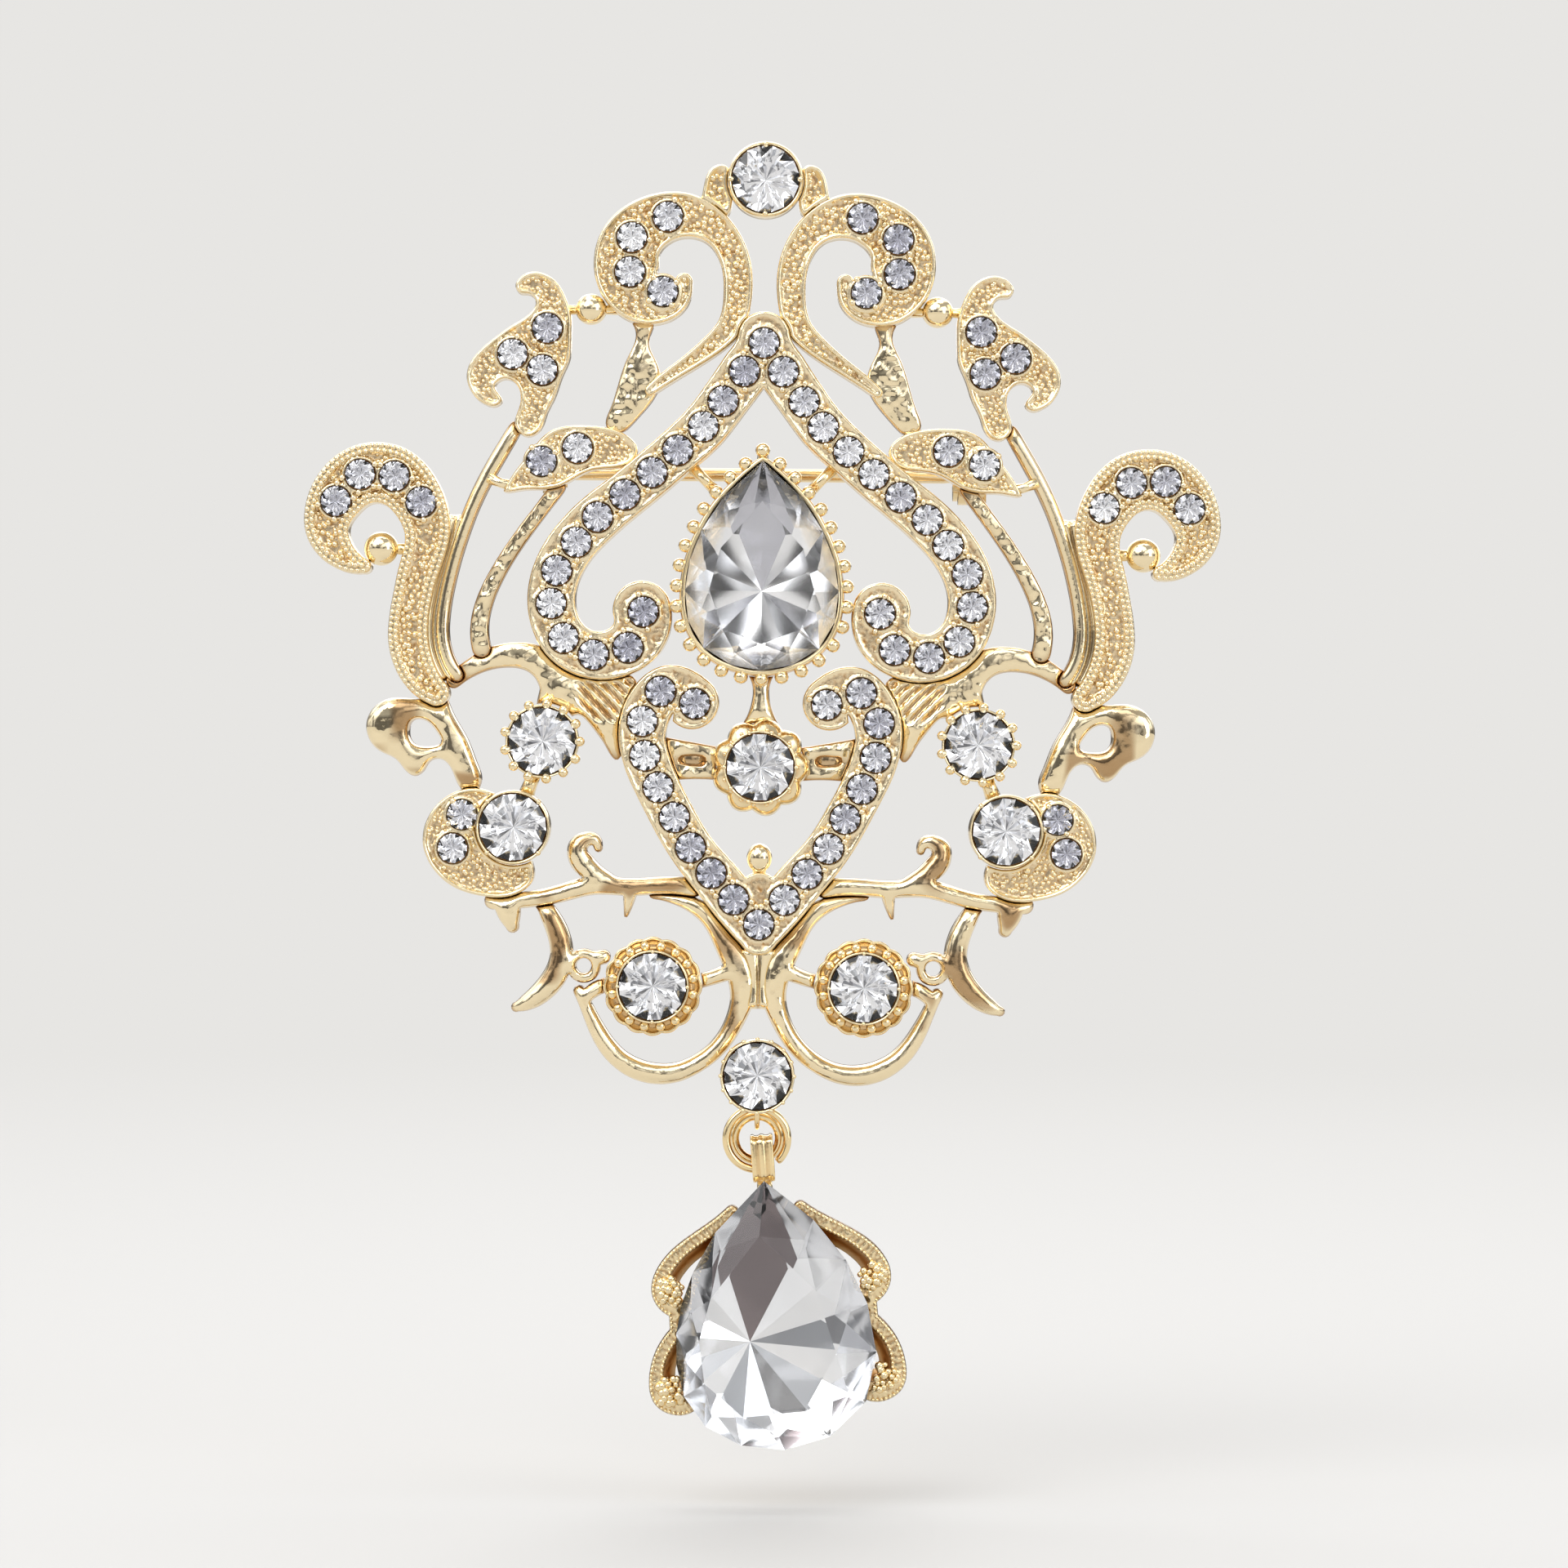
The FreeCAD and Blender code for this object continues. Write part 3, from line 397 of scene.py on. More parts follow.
def pebbles(p, size, seed):
    """Round granules on a loose triangular lattice: 1 on top of each, 0 between them."""
    rows, spread, fill = 1.1547, 0.5, 0.62
    q = p / size
    i, j = np.floor(q[:, 0] - 0.5 * q[:, 1]), np.floor(q[:, 1] * rows)
    nearest = np.full(len(p), 9.0)
    for di in (-1, 0, 1, 2):
        for dj in (-1, 0, 1, 2):
            a = i + di + spread * (scatter(i + di, j + dj, seed) - 0.5)
            b = j + dj + spread * (scatter(i + di, j + dj, seed + 5) - 0.5)
            x, y = (a + 0.5 * b / rows) * size, b / rows * size
            nearest = np.minimum(nearest, (x - p[:, 0])**2 + (y - p[:, 1])**2)
    return np.sqrt(np.clip(1 - nearest / (fill * size)**2, 0, 1))


def ripple(p, size, seed):
    """Smooth noise from -1 to 1 with features of a given size."""
    q = p / size
    i, j = np.floor(q[:, 0]), np.floor(q[:, 1])
    f = q - np.stack([i, j], 1)
    f = f * f * (3 - 2 * f)
    corners = [scatter(i + a, j + b, seed) for a in (0, 1) for b in (0, 1)]
    low = corners[0] * (1 - f[:, 0]) + corners[2] * f[:, 0]
    high = corners[1] * (1 - f[:, 0]) + corners[3] * f[:, 0]
    return 2 * (low * (1 - f[:, 1]) + high * f[:, 1]) - 1


def rounded(d, start, width):
    """Half-round ridge across start to start + width: 1 on its crest, 0 outside."""
    t = (d - start) / width * 2 - 1
    return np.sqrt(np.clip(1 - t * t, 0, 1))


def ramp(x, low, high):
    t = np.clip((x - low) / (high - low), 0, 1)
    return t * t * (3 - 2 * t)


def strewn(low, high, pitch, sway, seeds):
    """Points strewn over a box, and a number from 0 to 1 for each; fixed by three seeds."""
    grid = lattice(low, high, pitch)
    cell = np.round(grid / pitch)
    x, v, size = (scatter(cell[:, 0], cell[:, 1], seed) for seed in seeds)
    return grid + sway * (np.stack([x, v], 1) - 0.5), size


# ---- pieces
def linked(name, data):
    """A new object in the scene."""
    thing = bpy.data.objects.new(name, data)
    bpy.context.scene.collection.objects.link(thing)
    return thing


class Piece:
    """Gathers points, faces and the painted light (shade and highlight) of each point, and becomes
    one mesh object.
    """

    def __init__(self):
        self.points, self.faces, self.tone, self.count = [], [], [], 0

    def add(self, points, faces, tone=1.0):
        points = np.asarray(points, float)
        self.points.append(points)
        self.faces += [tuple(int(i) + self.count for i in f) for f in faces]
        self.tone.append(np.broadcast_to(np.asarray(tone, float), (len(points),)))
        self.count += len(points)

    def build(self, name, slot, node=None, body="frame", material=None, smooth=True):
        """The object in place of a CAD node; its gold is its slot's, unless a material is given."""
        mesh = bpy.data.meshes.new(name)
        mesh.from_pydata([tuple(p) for p in to_row(np.vstack(self.points))], [], self.faces)
        mesh.update()
        mesh.polygons.foreach_set("use_smooth", [smooth] * len(mesh.polygons))
        # painted light as a point attribute: the gold paints shade where it is low and a highlight
        # where it is high
        tones = mesh.attributes.new("tone", "FLOAT", "POINT")
        tones.data.foreach_set("value", np.concatenate(self.tone).astype(np.float32))
        mesh.materials.append(material or GOLDS[slot])
        thing = linked(name, mesh)
        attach(thing, body)
        if node:
            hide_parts(node)


def band(rows, count, closed=False):
    """Quads between rows of count points each; closed joins the last row to the first."""
    quads = []
    for k in range(rows if closed else rows - 1):
        a, b = k * count, (k + 1) % rows * count
        quads += [(a + i, b + i, b + j, a + j) for i, j in ringed(count)]
    return quads


def sphere_template(rings, segments):
    points = [(0, 0, 1.0)]
    for k in range(1, rings):
        polar = pi * k / rings
        points += [(x, v, cos(polar)) for x, v in around(segments, sin(polar))]
    points.append((0, 0, -1.0))
    last = len(points) - 1
    low = last - segments
    faces = [(0, 1 + i, 1 + j) for i, j in ringed(segments)]
    faces += [tuple(1 + i for i in quad) for quad in band(rings - 1, segments)]
    faces += [(low + i, last, low + j) for i, j in ringed(segments)]
    return np.array(points), faces


SPHERE = sphere_template(6, 12)
TINY_SPHERE = sphere_template(5, 8)
FINE_SPHERE = sphere_template(16, 32)


def bead(piece, x, v, w, radius, template=SPHERE):
    points, faces = template
    piece.add(points * radius + [x, v, w], faces)


def lathed(piece, x, v, profile, segments=72, wave=None):
    """Surface of revolution about w; profile is (radius, w, painted light) from the front outwards.
    wave(turn, k) gives a factor for the radius of profile point k."""
    turn = np.arange(segments) * TURN / segments
    points = []
    for k, (radius, w, _) in enumerate(profile):
        reach = radius * (wave(turn, k) if wave else 1.0)
        circle = np.column_stack([x + reach * np.cos(turn), v + reach * np.sin(turn)])
        points.append(lifted(circle, w))
    tones = np.repeat([tone for _, _, tone in profile], segments)
    piece.add(np.vstack(points), band(len(profile), segments), tones)


def tube(piece, path, radii, segments=16, flat=1.0, closed=False, tone=1.0):
    """Round bar along a path of (x, v, w), with a radius at each point."""
    path = np.array(path, float)
    if closed:
        along = np.roll(path, -1, 0) - np.roll(path, 1, 0)
    else:
        along = np.gradient(path, axis=0)
    along /= norm(along, axis=1)[:, None]
    turn = (np.arange(segments) * TURN / segments)[:, None]
    points, before = [], None
    for p, d, r in zip(path, along, np.broadcast_to(radii, len(path))):
        side = np.cross(d, (0, 0, 1.0))
        if norm(side) < 1e-3:
            side = np.array([1.0, 0, 0])
        side /= norm(side)
        if before is not None and side @ before < 0:
            side = -side
        before = side
        points.append(p + r * (np.cos(turn) * side + flat * np.sin(turn) * np.cross(side, d)))
    faces = [(a, d, c, b) for a, b, c, d in band(len(path), segments, closed)]
    if not closed:
        last = (len(path) - 1) * segments
        faces += [tuple(range(segments))[::-1], tuple(last + i for i in range(segments))]
    piece.add(np.vstack(points), faces, tone)


CLAIMED = []               # small stones whose seats lie inside a casting


def casting(piece, node, shape, back, rings=(0.03, 0.09, 0.17, 0.27)):
    """Adds a node's casting: relief in front, walls, and a hollowed back.
    shape(p, far, along, film, seats) returns the front's level and its painted light."""
    outline = outline_of(node)
    near = small_stones_in(outline.a.min(0) - 1, outline.a.max(0) + 1)
    seats = [c for c in near if outline.depth(c) > 0.3]
    CLAIMED.extend(seats)
    border = len(outline.a)
    points, faces = filled(outline, rings, GRID_STEP, seats)
    far, along = outline.measure(points)
    far[:border] = 0
    film = blister(points, faces, far)
    level, tone = shape(points, far, along, film, np.array(seats).reshape(-1, 2))
    front = piece.count
    piece.add(lifted(points, level), faces, tone)

    points, faces = filled(outline, (0.1, BACK_RIM), BACK_STEP)
    far = outline.measure(points)[0]
    far[:border] = 0
    hollow = back + BACK_HOLLOW * ramp(far, BACK_RIM - 0.1, BACK_RIM + 0.35)
    w = np.where(far < 0.02, back + 0.1, np.minimum(hollow, level.min() - 0.3))
    rear = piece.count
    piece.add(lifted(points, w), faces[:, ::-1], 0.55)
    piece.faces += [(front + i, rear + i, rear + j, front + j) for i, j in outline.sides]
    return outline, seats


# ---- relief styles
def seated(p, level, tone, seats, top):
    """Presses stone seats into a relief whose crest is at top: a raised collar with a painted
    highlight, and a pit with painted shade.
    """
    for c in seats:
        r = norm(p - c, axis=1)
        collar = top - 0.12 + 0.13 * rounded(r, *COLLAR)
        level = np.where((r > SEAT) & (r < sum(COLLAR)), np.maximum(level, collar), level)
        tone = np.where((r > 1.0) & (r < 1.24), 0.95, tone)
        level = np.where(r <= SEAT, top - 1.05, level)
        tone = np.where(r <= SEAT, 0.15, tone)
    return level, tone


def granular(top, rim, depth, size, rough, bumps=0.02):
    """Raised rim round a sunken bed of granules: a painted highlight on the rim, painted shade in
    the bed, lighter on each granule's top.
    """
    def shape(p, far, along, film, seats):
        grain = pebbles(p, size, 3.0)
        bed = top - depth + rough * grain + 0.03 * ripple(p, 0.9, 2.0)
        ridge = top - 0.14 + 0.14 * rounded(far, 0.0, rim) - bumps * np.abs(ripple(p, 0.42, 9.0))
        ridge = np.where(far > rim * 0.6, np.maximum(ridge, bed), ridge)
        level = np.where(far < rim, ridge, bed)
        level = np.where(far <= 0.005, top - 0.3, level)
        tone = np.where(far < rim, 1.0, 0.05 + 0.6 * grain)
        return seated(p, level, tone, seats, top)
    return shape


def domed(most, rise=1.05, dents=0.0, strokes=None, dusky=0.8):
    """Polished half-round or swelling surface, hammered by dents, with painted shade low on its
    sides, a painted highlight on its crest, and darker patches on the crest that paint a dark
    reflection.
    strokes (x, v, reach) cuts slanting grooves round a point and its mirror image, with painted
    shade in them."""
    def shape(p, far, along, film, seats):
        height = most * np.tanh(rise * film / most)
        dent = dents * (1 + ripple(p, 0.34, 4.0)) * ramp(far, 0.05, 0.25)
        level = POLISHED_BASE + height - dent
        # darker random patches on the crest: a painted dark reflection
        dusk = ramp(height, 0.5, 0.8) * ramp(ripple(p, 2.4, 7.0), -0.1, 0.4)
        # painted shade low on the sides and a painted highlight on the crest
        tone = 0.1 + 0.9 * ramp(height, 0.1, 0.6) - dusky * dusk
        if strokes:
            x, v, reach = strokes
            q = np.column_stack([np.abs(p[:, 0]) - x, p[:, 1] - v])
            near = ramp(reach - norm(q, axis=1), 0.0, 0.6) * ramp(far, 0.1, 0.3)
            groove = near * (0.5 - 0.5 * np.cos(TURN * (q[:, 0] - q[:, 1]) / 0.9))
            level = level - 0.34 * groove
            # painted shade in the grooves
            tone = tone - 0.9 * groove
        return level, tone
    return shape


# ---- materials
def fill(tree, node, *first, **others):
    """Links or sets inputs of a shader node, in order or by name, with _ for a space."""
    for key, value in [*enumerate(first), *others.items()]:
        socket = node.inputs[key.replace("_", " ") if isinstance(key, str) else key]
        if isinstance(value, bpy.types.NodeSocket):
            tree.links.new(value, socket)
        else:
            socket.default_value = value


def grow(tree, kind, *first, **others):
    """Adds a shader node and returns its outputs.  Names in lower case are settings of the node,
    the others are its inputs."""
    node = tree.nodes.new("ShaderNode" + kind)
    for key in [key for key in others if key.islower()]:
        setattr(node, key, others.pop(key))
    fill(tree, node, *first, **others)
    return node.outputs


def noise(tree, scale, detail=2.0, space="Object"):
    place = grow(tree, "TexCoord")[space]
    return grow(tree, "TexNoise", Vector=place, Scale=scale, Detail=detail)["Fac"]


def colour_ramp(tree, fac, first, last, *between):
    """Colours through stops (position, colour)."""
    node = tree.nodes.new("ShaderNodeValToRGB")
    tree.links.new(fac, node.inputs["Fac"])
    stops = node.color_ramp.elements
    for stop, (at, colour) in zip(stops, (first, last)):
        stop.position, stop.color = at, (*colour, 1)
    for at, colour in between:
        stops.new(at).color = (*colour, 1)
    return node.outputs["Color"]


def new_material(name):
    """A material, its tree and its shader."""
    material = bpy.data.materials.new(name)
    material.use_nodes = True
    return material, material.node_tree, material.node_tree.nodes["Principled BSDF"]


def gold(name, deep, bright, rough, rough_deep, bump, toned=True):
    """Plated metal: painted shade, darker and warmer, where the painted light is low, and a painted
    highlight where it is high; with fine wear and casting marks.
    """
    material, tree, shader = new_material(name)
    tone = grow(tree, "Attribute", attribute_name="tone")["Fac"] if toned else 0.7
    mixed = grow(tree, "Math", noise(tree, 260.0, 4.0), 0.35, tone, operation="MULTIPLY_ADD")[0]
    gloss = grow(tree, "MapRange", Value=mixed, From_Min=0.2, From_Max=1.1,
                 To_Min=rough_deep, To_Max=rough)["Result"]
    bumped = grow(tree, "Bump", Strength=bump, Distance=0.0001, Height=noise(tree, 2700.0, 3.0))
    # colour runs from painted shade in recesses to a painted highlight on crests, with fine wear
    # mixed in
    fill(tree, shader, Base_Color=colour_ramp(tree, mixed, (0.2, deep), (0.95, bright)),
         Roughness=gloss, Normal=bumped["Normal"], Metallic=1.0)
    return material


def crystal():
    """Clear cut glass with the faintest cloud of wear on its facets."""
    material, tree, shader = new_material("clear_crystal")
    gloss = grow(tree, "MapRange", Value=noise(tree, 400.0), To_Min=0.0, To_Max=0.035)["Result"]
    fill(tree, shader, Base_Color=(1, 1, 1, 1), Transmission_Weight=1.0, IOR=1.56,
         Roughness=gloss)
    return material


def foil(name, pale, dark, rough):
    """Silver foil behind a stone, with a faint cloud in it."""
    material, tree, shader = new_material(name)
    fill(tree, shader, Metallic=1.0, Roughness=rough,
         Base_Color=colour_ramp(tree, noise(tree, 180.0), (0.35, dark), (0.65, pale)))
    return material


GOLDS = {name: gold(name, *look) for name, *look in (
    # painted shade colour for recesses and painted highlight colour for crests, roughness on crests
    # and in recesses, strength of the casting marks
    ("granulated_gold", (0.46, 0.23, 0.07), (0.91, 0.76, 0.50), 0.2, 0.34, 0.35),
    ("polished_gold", (0.38, 0.20, 0.07), (0.93, 0.78, 0.51), 0.06, 0.16, 0.1),
    ("cup_gold", (0.54, 0.26, 0.06), (0.91, 0.74, 0.45), 0.13, 0.28, 0.12),
    ("lace_gold", (0.36, 0.16, 0.04), (0.90, 0.73, 0.44), 0.2, 0.34, 0.3),
    ("link_gold", (0.62, 0.32, 0.09), (0.91, 0.72, 0.41), 0.12, 0.2, 0.08),
    ("findings_gold", (0.6, 0.38, 0.16), (0.92, 0.73, 0.42), 0.22, 0.3, 0.15, False),
    ("pin_wire", (0.7, 0.48, 0.22), (0.93, 0.76, 0.48), 0.14, 0.2, 0.08, False))}
CRYSTAL = crystal()
# pale and dark colour, roughness
FOIL = foil("silver_foil", (0.98, 0.98, 0.99), (0.92, 0.92, 0.93), 0.07)
MELEE_FOIL = foil("melee_foil", (0.98, 0.98, 0.99), (0.68, 0.68, 0.73), 0.07)
PEAR_FOIL = foil("pear_foil", (0.98, 0.98, 0.99), (0.93, 0.93, 0.94), 0.17)
DROP_FOIL = foil("drop_foil", (0.95, 0.95, 0.96), (0.86, 0.87, 0.89), 0.1)
# the next two foils paint a dark reflection on the two facets under a pear's tip
GREY_REFLECTION_FOIL = foil("grey_reflection_foil", (0.66, 0.66, 0.7), (0.55, 0.55, 0.59), 0.12)
DARK_REFLECTION_FOIL = foil("dark_reflection_foil", (0.28, 0.23, 0.23), (0.18, 0.15, 0.155), 0.03)


# ---- castings
def pair(stem):
    return [stem + "_right", stem + "_left"]


def prong_beads(piece, seats, outline, w):
    """Shared bead prongs: two beside each neighbouring pair of stones, two at a free end."""
    kept = []
    for i, a in enumerate(seats):
        near = sorted((norm(b - a), j) for j, b in enumerate(seats) if j != i)
        sides = [seats[j] - a for d, j in near[:2] if d < SHARING]
        if len(sides) == 1:
            sides.append(-sides[0])
        for side in sides:
            along = PRONG[0] * side / norm(side)
            across = PRONG[1] * np.array([-side[1], side[0]]) / norm(side)
            for q in (a + along + across, a + along - across):
                if outline.depth(q) > 0.2 and all(norm(q - k) > 0.3 for k in kept):
                    kept.append(q)
                    bead(piece, *q, w, BEAD)


def milgrain(piece, outline, inset, radius, pitch, w, clear=None):
    """A row of small beads along every border, inset from it."""
    for loop in outline.loops:
        line = loop + inset * inward(loop)
        line = line[outline.measure(line)[0] > inset - 0.05]
        if len(line) < 3:
            continue
        for (x, v), side in walked(line, pitch):
            if side <= 4 * EDGE_STEP and (clear is None or clear(x, v)):
                bead(piece, x, v, w, radius, TINY_SPHERE)


def granules(piece, outline, seats, top, rim, depth, radius, pitch):
    """Loose round granules over the sunken bed, clear of the rim and the stones."""
    grid, size = strewn(outline.a.min(0), outline.a.max(0), pitch, 0.84 * pitch, (1.0, 2.0, 4.0))
    keep = outline.measure(grid)[0] > rim + 0.35 * radius
    for c in seats:
        keep &= norm(grid - c, axis=1) > 1.22 + 0.4 * radius
    for (x, v), r in zip(grid[keep], radius * (0.78 + 0.44 * size[keep])):
        bead(piece, x, v, top - depth + 0.25 * r, r, TINY_SPHERE)


def granular_casting(node, top, grains=(), loose=None, **look):
    """grains are rows (radius, pitch, inset, drop) along the border; loose is (radius, pitch)."""
    piece = Piece()
    outline, seats = casting(piece, node, granular(top, **look), GRANULAR_BACK)
    prong_beads(piece, seats, outline, top + 0.05)
    if loose:
        granules(piece, outline, seats, top, look["rim"], look["depth"], *loose)
    for radius, pitch, inset, drop in grains:
        milgrain(piece, outline, inset, radius, pitch, top - drop)
    piece.build(node + "_cast", "granulated_gold", node)


def polished_casting(node, most, **look):
    piece = Piece()
    casting(piece, node, domed(most, **look), POLISHED_BACK, rings=(0.02, 0.07, 0.15, 0.26))
    piece.build(node + "_cast", "polished_gold", node)


for node, rim in (("spade_frame", 0.36), ("heart_frame", 0.32)):
    granular_casting(node, BAND_TOP, rim=rim, depth=0.24, size=0.36, rough=0.15, bumps=0.07)
for node in pair("crown_scroll"):
    granular_casting(node, SCROLL_TOP, loose=(0.22, 0.43), rim=0.3, depth=0.42, size=0.44,
                     rough=0.1)
for node in pair("side_scroll"):
    granular_casting(node, SCROLL_TOP, grains=((0.2, 0.4, 0.2, 0.12), (0.2, 0.42, 0.55, 0.02)),
                     loose=(0.21, 0.44), rim=0.7, depth=0.42, size=0.46, rough=0.1)
for node in pair("shoulder_leaf") + pair("flame_leaf") + pair("lobe"):
    granular_casting(node, LEAF_TOP, loose=(0.17, 0.36), rim=0.27, depth=0.34, size=0.38,
                     rough=0.1, bumps=0.04)

for node in pair("hook_leaf") + pair("crescent") + pair("bottom_loop") + pair("thorn_branch"):
    polished_casting(node, 1.25, rise=1.6, dents=0.02)
for stem, most, dents in (("outer_arc", 1.0, 0.0), ("crown_blade", 0.6, 0.08),
                          ("inner_arm", 0.6, 0.1)):
    for node in pair(stem):
        polished_casting(node, most, dents=dents)
for node in pair("hip_bracket"):
    polished_casting(node, 0.9, dents=0.04, strokes=(10.4, -14.9, 2.2), dusky=0.15)
polished_casting("heart_arms", 0.9, dents=0.08, dusky=0.3)
polished_casting("center_post", 1.1, dents=0.03)


def web(piece, left, right, high, low, crest, seam, widest, tuck=0.3):
    """Metal that closes the narrow gap between two castings, with a seam along its middle."""
    one, two = outline_of(left), outline_of(right)
    back, rows = 3.4, []
    for v in np.arange(high, low, -0.12):
        a, b = crossings(one.a, one.b, v), crossings(two.a, two.b, v)
        if not len(a) or not len(b) or not -0.5 < b.min() - a.max() < widest:
            continue
        centre, half = (a.max() + b.min()) / 2, max((b.min() - a.max()) / 2, 0.05)
        edge, shoulder = half + tuck, 0.8 * half + 0.05
        across = [(-edge, crest - 0.35), (-shoulder, crest), (-0.1, seam + 0.06), (0.0, seam),
                  (0.1, seam + 0.06), (shoulder, crest), (edge, crest - 0.35), (edge, back),
                  (-edge, back)]
        rows.append([(centre + dx, v, w) for dx, w in across])
    points, n = np.array(rows), len(rows[0])
    for end, fall in enumerate((0.6, 0.25, 0.08)):
        points[[end, -1 - end], :7, 2] -= fall
    faces = [tuple(range(n)), tuple((len(rows) - 1) * n + i for i in range(n))[::-1]]
    # painted light across the section: a painted highlight on the shoulders, painted shade in the
    # seam and on the back
    tones = np.tile([0.8, 1, 0.6, 0.3, 0.6, 1, 0.8, 0.3, 0.3], len(rows))
    piece.add(points.reshape(-1, 3), faces + band(len(rows), n), tones)


def webs():
    """Metal in the narrow gaps of the openwork and behind the slots of the heart's arms."""
    piece = Piece()
    web(piece, "bottom_loop_left", "bottom_loop_right", -31.9, -36.0, 5.1, 4.72, 3.0, tuck=0.4)
    web(piece, "outer_arc_right", "side_scroll_right", 2.0, -20.0, 4.45, 4.2, 0.8)
    web(piece, "side_scroll_left", "outer_arc_left", 2.0, -20.0, 4.45, 4.2, 0.8)
    for side in (-1, 1):
        # bars behind the slots of the heart's arms, painted dark as shade
        tube(piece, [(side * 3.3, -19.3, 3.75), (side * 5.9, -19.3, 3.75)], 0.62, flat=0.4,
             tone=0.3)
        tube(piece, [(side * 16.5, -1.15, 4.3), (side * 17.5, -0.95, 4.4),
                     (side * 18.35, -0.6, 4.3)], [0.42, 0.32, 0.38])
    piece.build("casting_webs", "polished_gold")


def seat_collars():
    """Collars of the stones that stand half over the edge of their casting."""
    piece = Piece()
    for x, v, table in SMALL_PLACES:
        t = table - 0.27
        if all(hypot(x - c[0], v - c[1]) > 0.2 for c in CLAIMED):
            # painted shade in the seat and down the outside, a painted highlight on the lip
            lathed(piece, x, v, [
                (0.96, t - 0.9, 0.2), (0.98, t - 0.1, 0.6), (1.05, t + 0.02, 1),
                (1.16, t + 0.02, 1), (1.24, t - 0.1, 0.8), (1.26, t - 1.2, 0.3),
                (0.9, t - 1.3, 0.3), (0.0, t - 1.3, 0.3)], segments=36)
            for dx, dv in around(4, 1.1, 0.6):
                bead(piece, x + dx, v + dv, t + 0.04, BEAD)
    piece.build("seat_collars", "granulated_gold")


# ---- cups
def bezel(piece, x, v, outer, low=CUP_FOOT):
    """A cup from the seat over the lip and down to its foot: painted shade at the seat and the
    foot, a painted highlight on the lip.
    """
    lathed(piece, x, v, [
        (1.9, 5.0, 0.1), (2.22, 5.35, 0.3), (2.28, 5.8, 0.8), (2.34, 5.97, 1), (2.44, 6.0, 1),
        (outer - 0.06, 5.9, 1), (outer, 5.7, 0.9), (outer, low + 1.0, 0.6),
        (0.92 * outer, low + 0.6, 0.45), (0.76 * outer, low + 0.05, 0.4),
        (0.7 * outer, low, 0.4), (0.0, low, 0.4)])


def place_of(node):
    """Centre (x, v) of the round stone that sits in a cup."""
    low, high = box_of(node)
    inside = [p for p in ROUND_PLACES if low[0] < p[0] < high[0] and low[1] < p[1] < high[1]]
    return min(inside, key=lambda p: abs(p[0] - (low[0] + high[0]) / 2))[:2]


def simple_cup(node, outer, prongs, prong_at, prong_radius, low=CUP_FOOT, extra=None):
    """Cup with a ring of prong beads on little upright posts."""
    piece = Piece()
    x, v = place_of(node)
    bezel(piece, x, v, outer, low)
    post, foot = 0.7 * prong_radius, low + 0.9
    for dx, dv in around(prongs, prong_at):
        lathed(piece, x + dx, v + dv, [
            (post, 5.9, 1), (post, foot, 1), (post * 0.8, foot - 0.1, 1), (0.0, foot - 0.12, 1)],
            segments=10)
        bead(piece, x + dx, v + dv, CUP_BEADS, prong_radius)
    if extra:
        extra(piece, x, v)
    piece.build(node + "_set", "cup_gold", node)


def skirt(piece, x, v):
    """Scalloped skirt with a ring of beads in it: painted shade in the trough under the beads, a
    painted highlight on the scalloped ridge.
    """
    count = 16

    def wave(turn, k):
        return 1 + 0.045 * (np.abs(np.cos(turn * count / 2)) - 0.5) * (2 <= k <= 6)
    lathed(piece, x, v, [
        (2.4, 5.2, 0.6), (2.42, 4.6, 0.3), (2.95, 4.6, 0.4), (3.04, 4.85, 1), (3.14, 4.95, 1),
        (3.25, 4.85, 1), (3.22, 4.2, 0.5), (2.95, 3.5, 0.4), (2.5, 3.26, 0.4), (0.0, 3.3, 0.4)],
        segments=count * 8, wave=wave)
    for dx, dv in around(count, 2.72, pi / count):
        bead(piece, x + dx, v + dv, 4.9, 0.36)


def petals(piece, x, v):
    """Rounded petals round the heart's cup: a painted highlight on their tops, painted shade inside
    and below them.
    """
    count, outer = 9, 3.08

    def wave(turn, k):
        return 1 + 0.13 * (np.abs(np.cos(turn * count / 2)) - 0.45) * (1 <= k <= 4)
    lathed(piece, x, v, [
        (2.3, 5.6, 0.3), (outer * 0.86, 5.35, 0.9), (outer * 0.96, 5.1, 1), (outer, 4.6, 0.8),
        (outer * 0.94, 4.0, 0.4), (outer * 0.8, 3.4, 0.4), (0.0, 3.3, 0.4)],
        segments=count * 10, wave=wave)
    for dx, dv in around(2 * count, 2.52):
        bead(piece, x + dx, v + dv, 5.7, 0.15)


def jowl(node):
    """Tall plain bezel with the peg that ties it to the cup above."""
    piece = Piece()
    x, v = place_of(node)
    bezel(piece, x, v, 2.5)
    for dx, dv in around(4, 2.42, pi / 4):
        bead(piece, x + dx, v + dv, 5.9, 0.17)
    co, _ = drawn(node)
    end = co[co[:, 1] > v + 2.9][:, :2].mean(0)
    near = np.array([x, v]) + 2.3 * (end - (x, v)) / norm(end - (x, v))
    tube(piece, [(*near, 4.3), (*(near + end) / 2, 4.45), (*end, 4.3)], [0.55, 0.48, 0.5])
    piece.build(node + "_set", "cup_gold", node)


seat_collars()
simple_cup("crown_cup", 2.54, 4, 2.33, 0.2)
simple_cup("base_cup", 2.5, 16, 2.46, 0.14, low=3.85)
simple_cup("heart_cup", 2.45, 10, 2.42, 0.16, extra=petals)
for cheek, lower in zip(pair("cheek_cup"), pair("lower_cup")):
    simple_cup(cheek, 2.42, 13, 2.52, 0.34)
    simple_cup(lower, 2.42, 8, 2.34, 0.14, extra=skirt)
webs()
for node in pair("jowl_cup"):
    jowl(node)


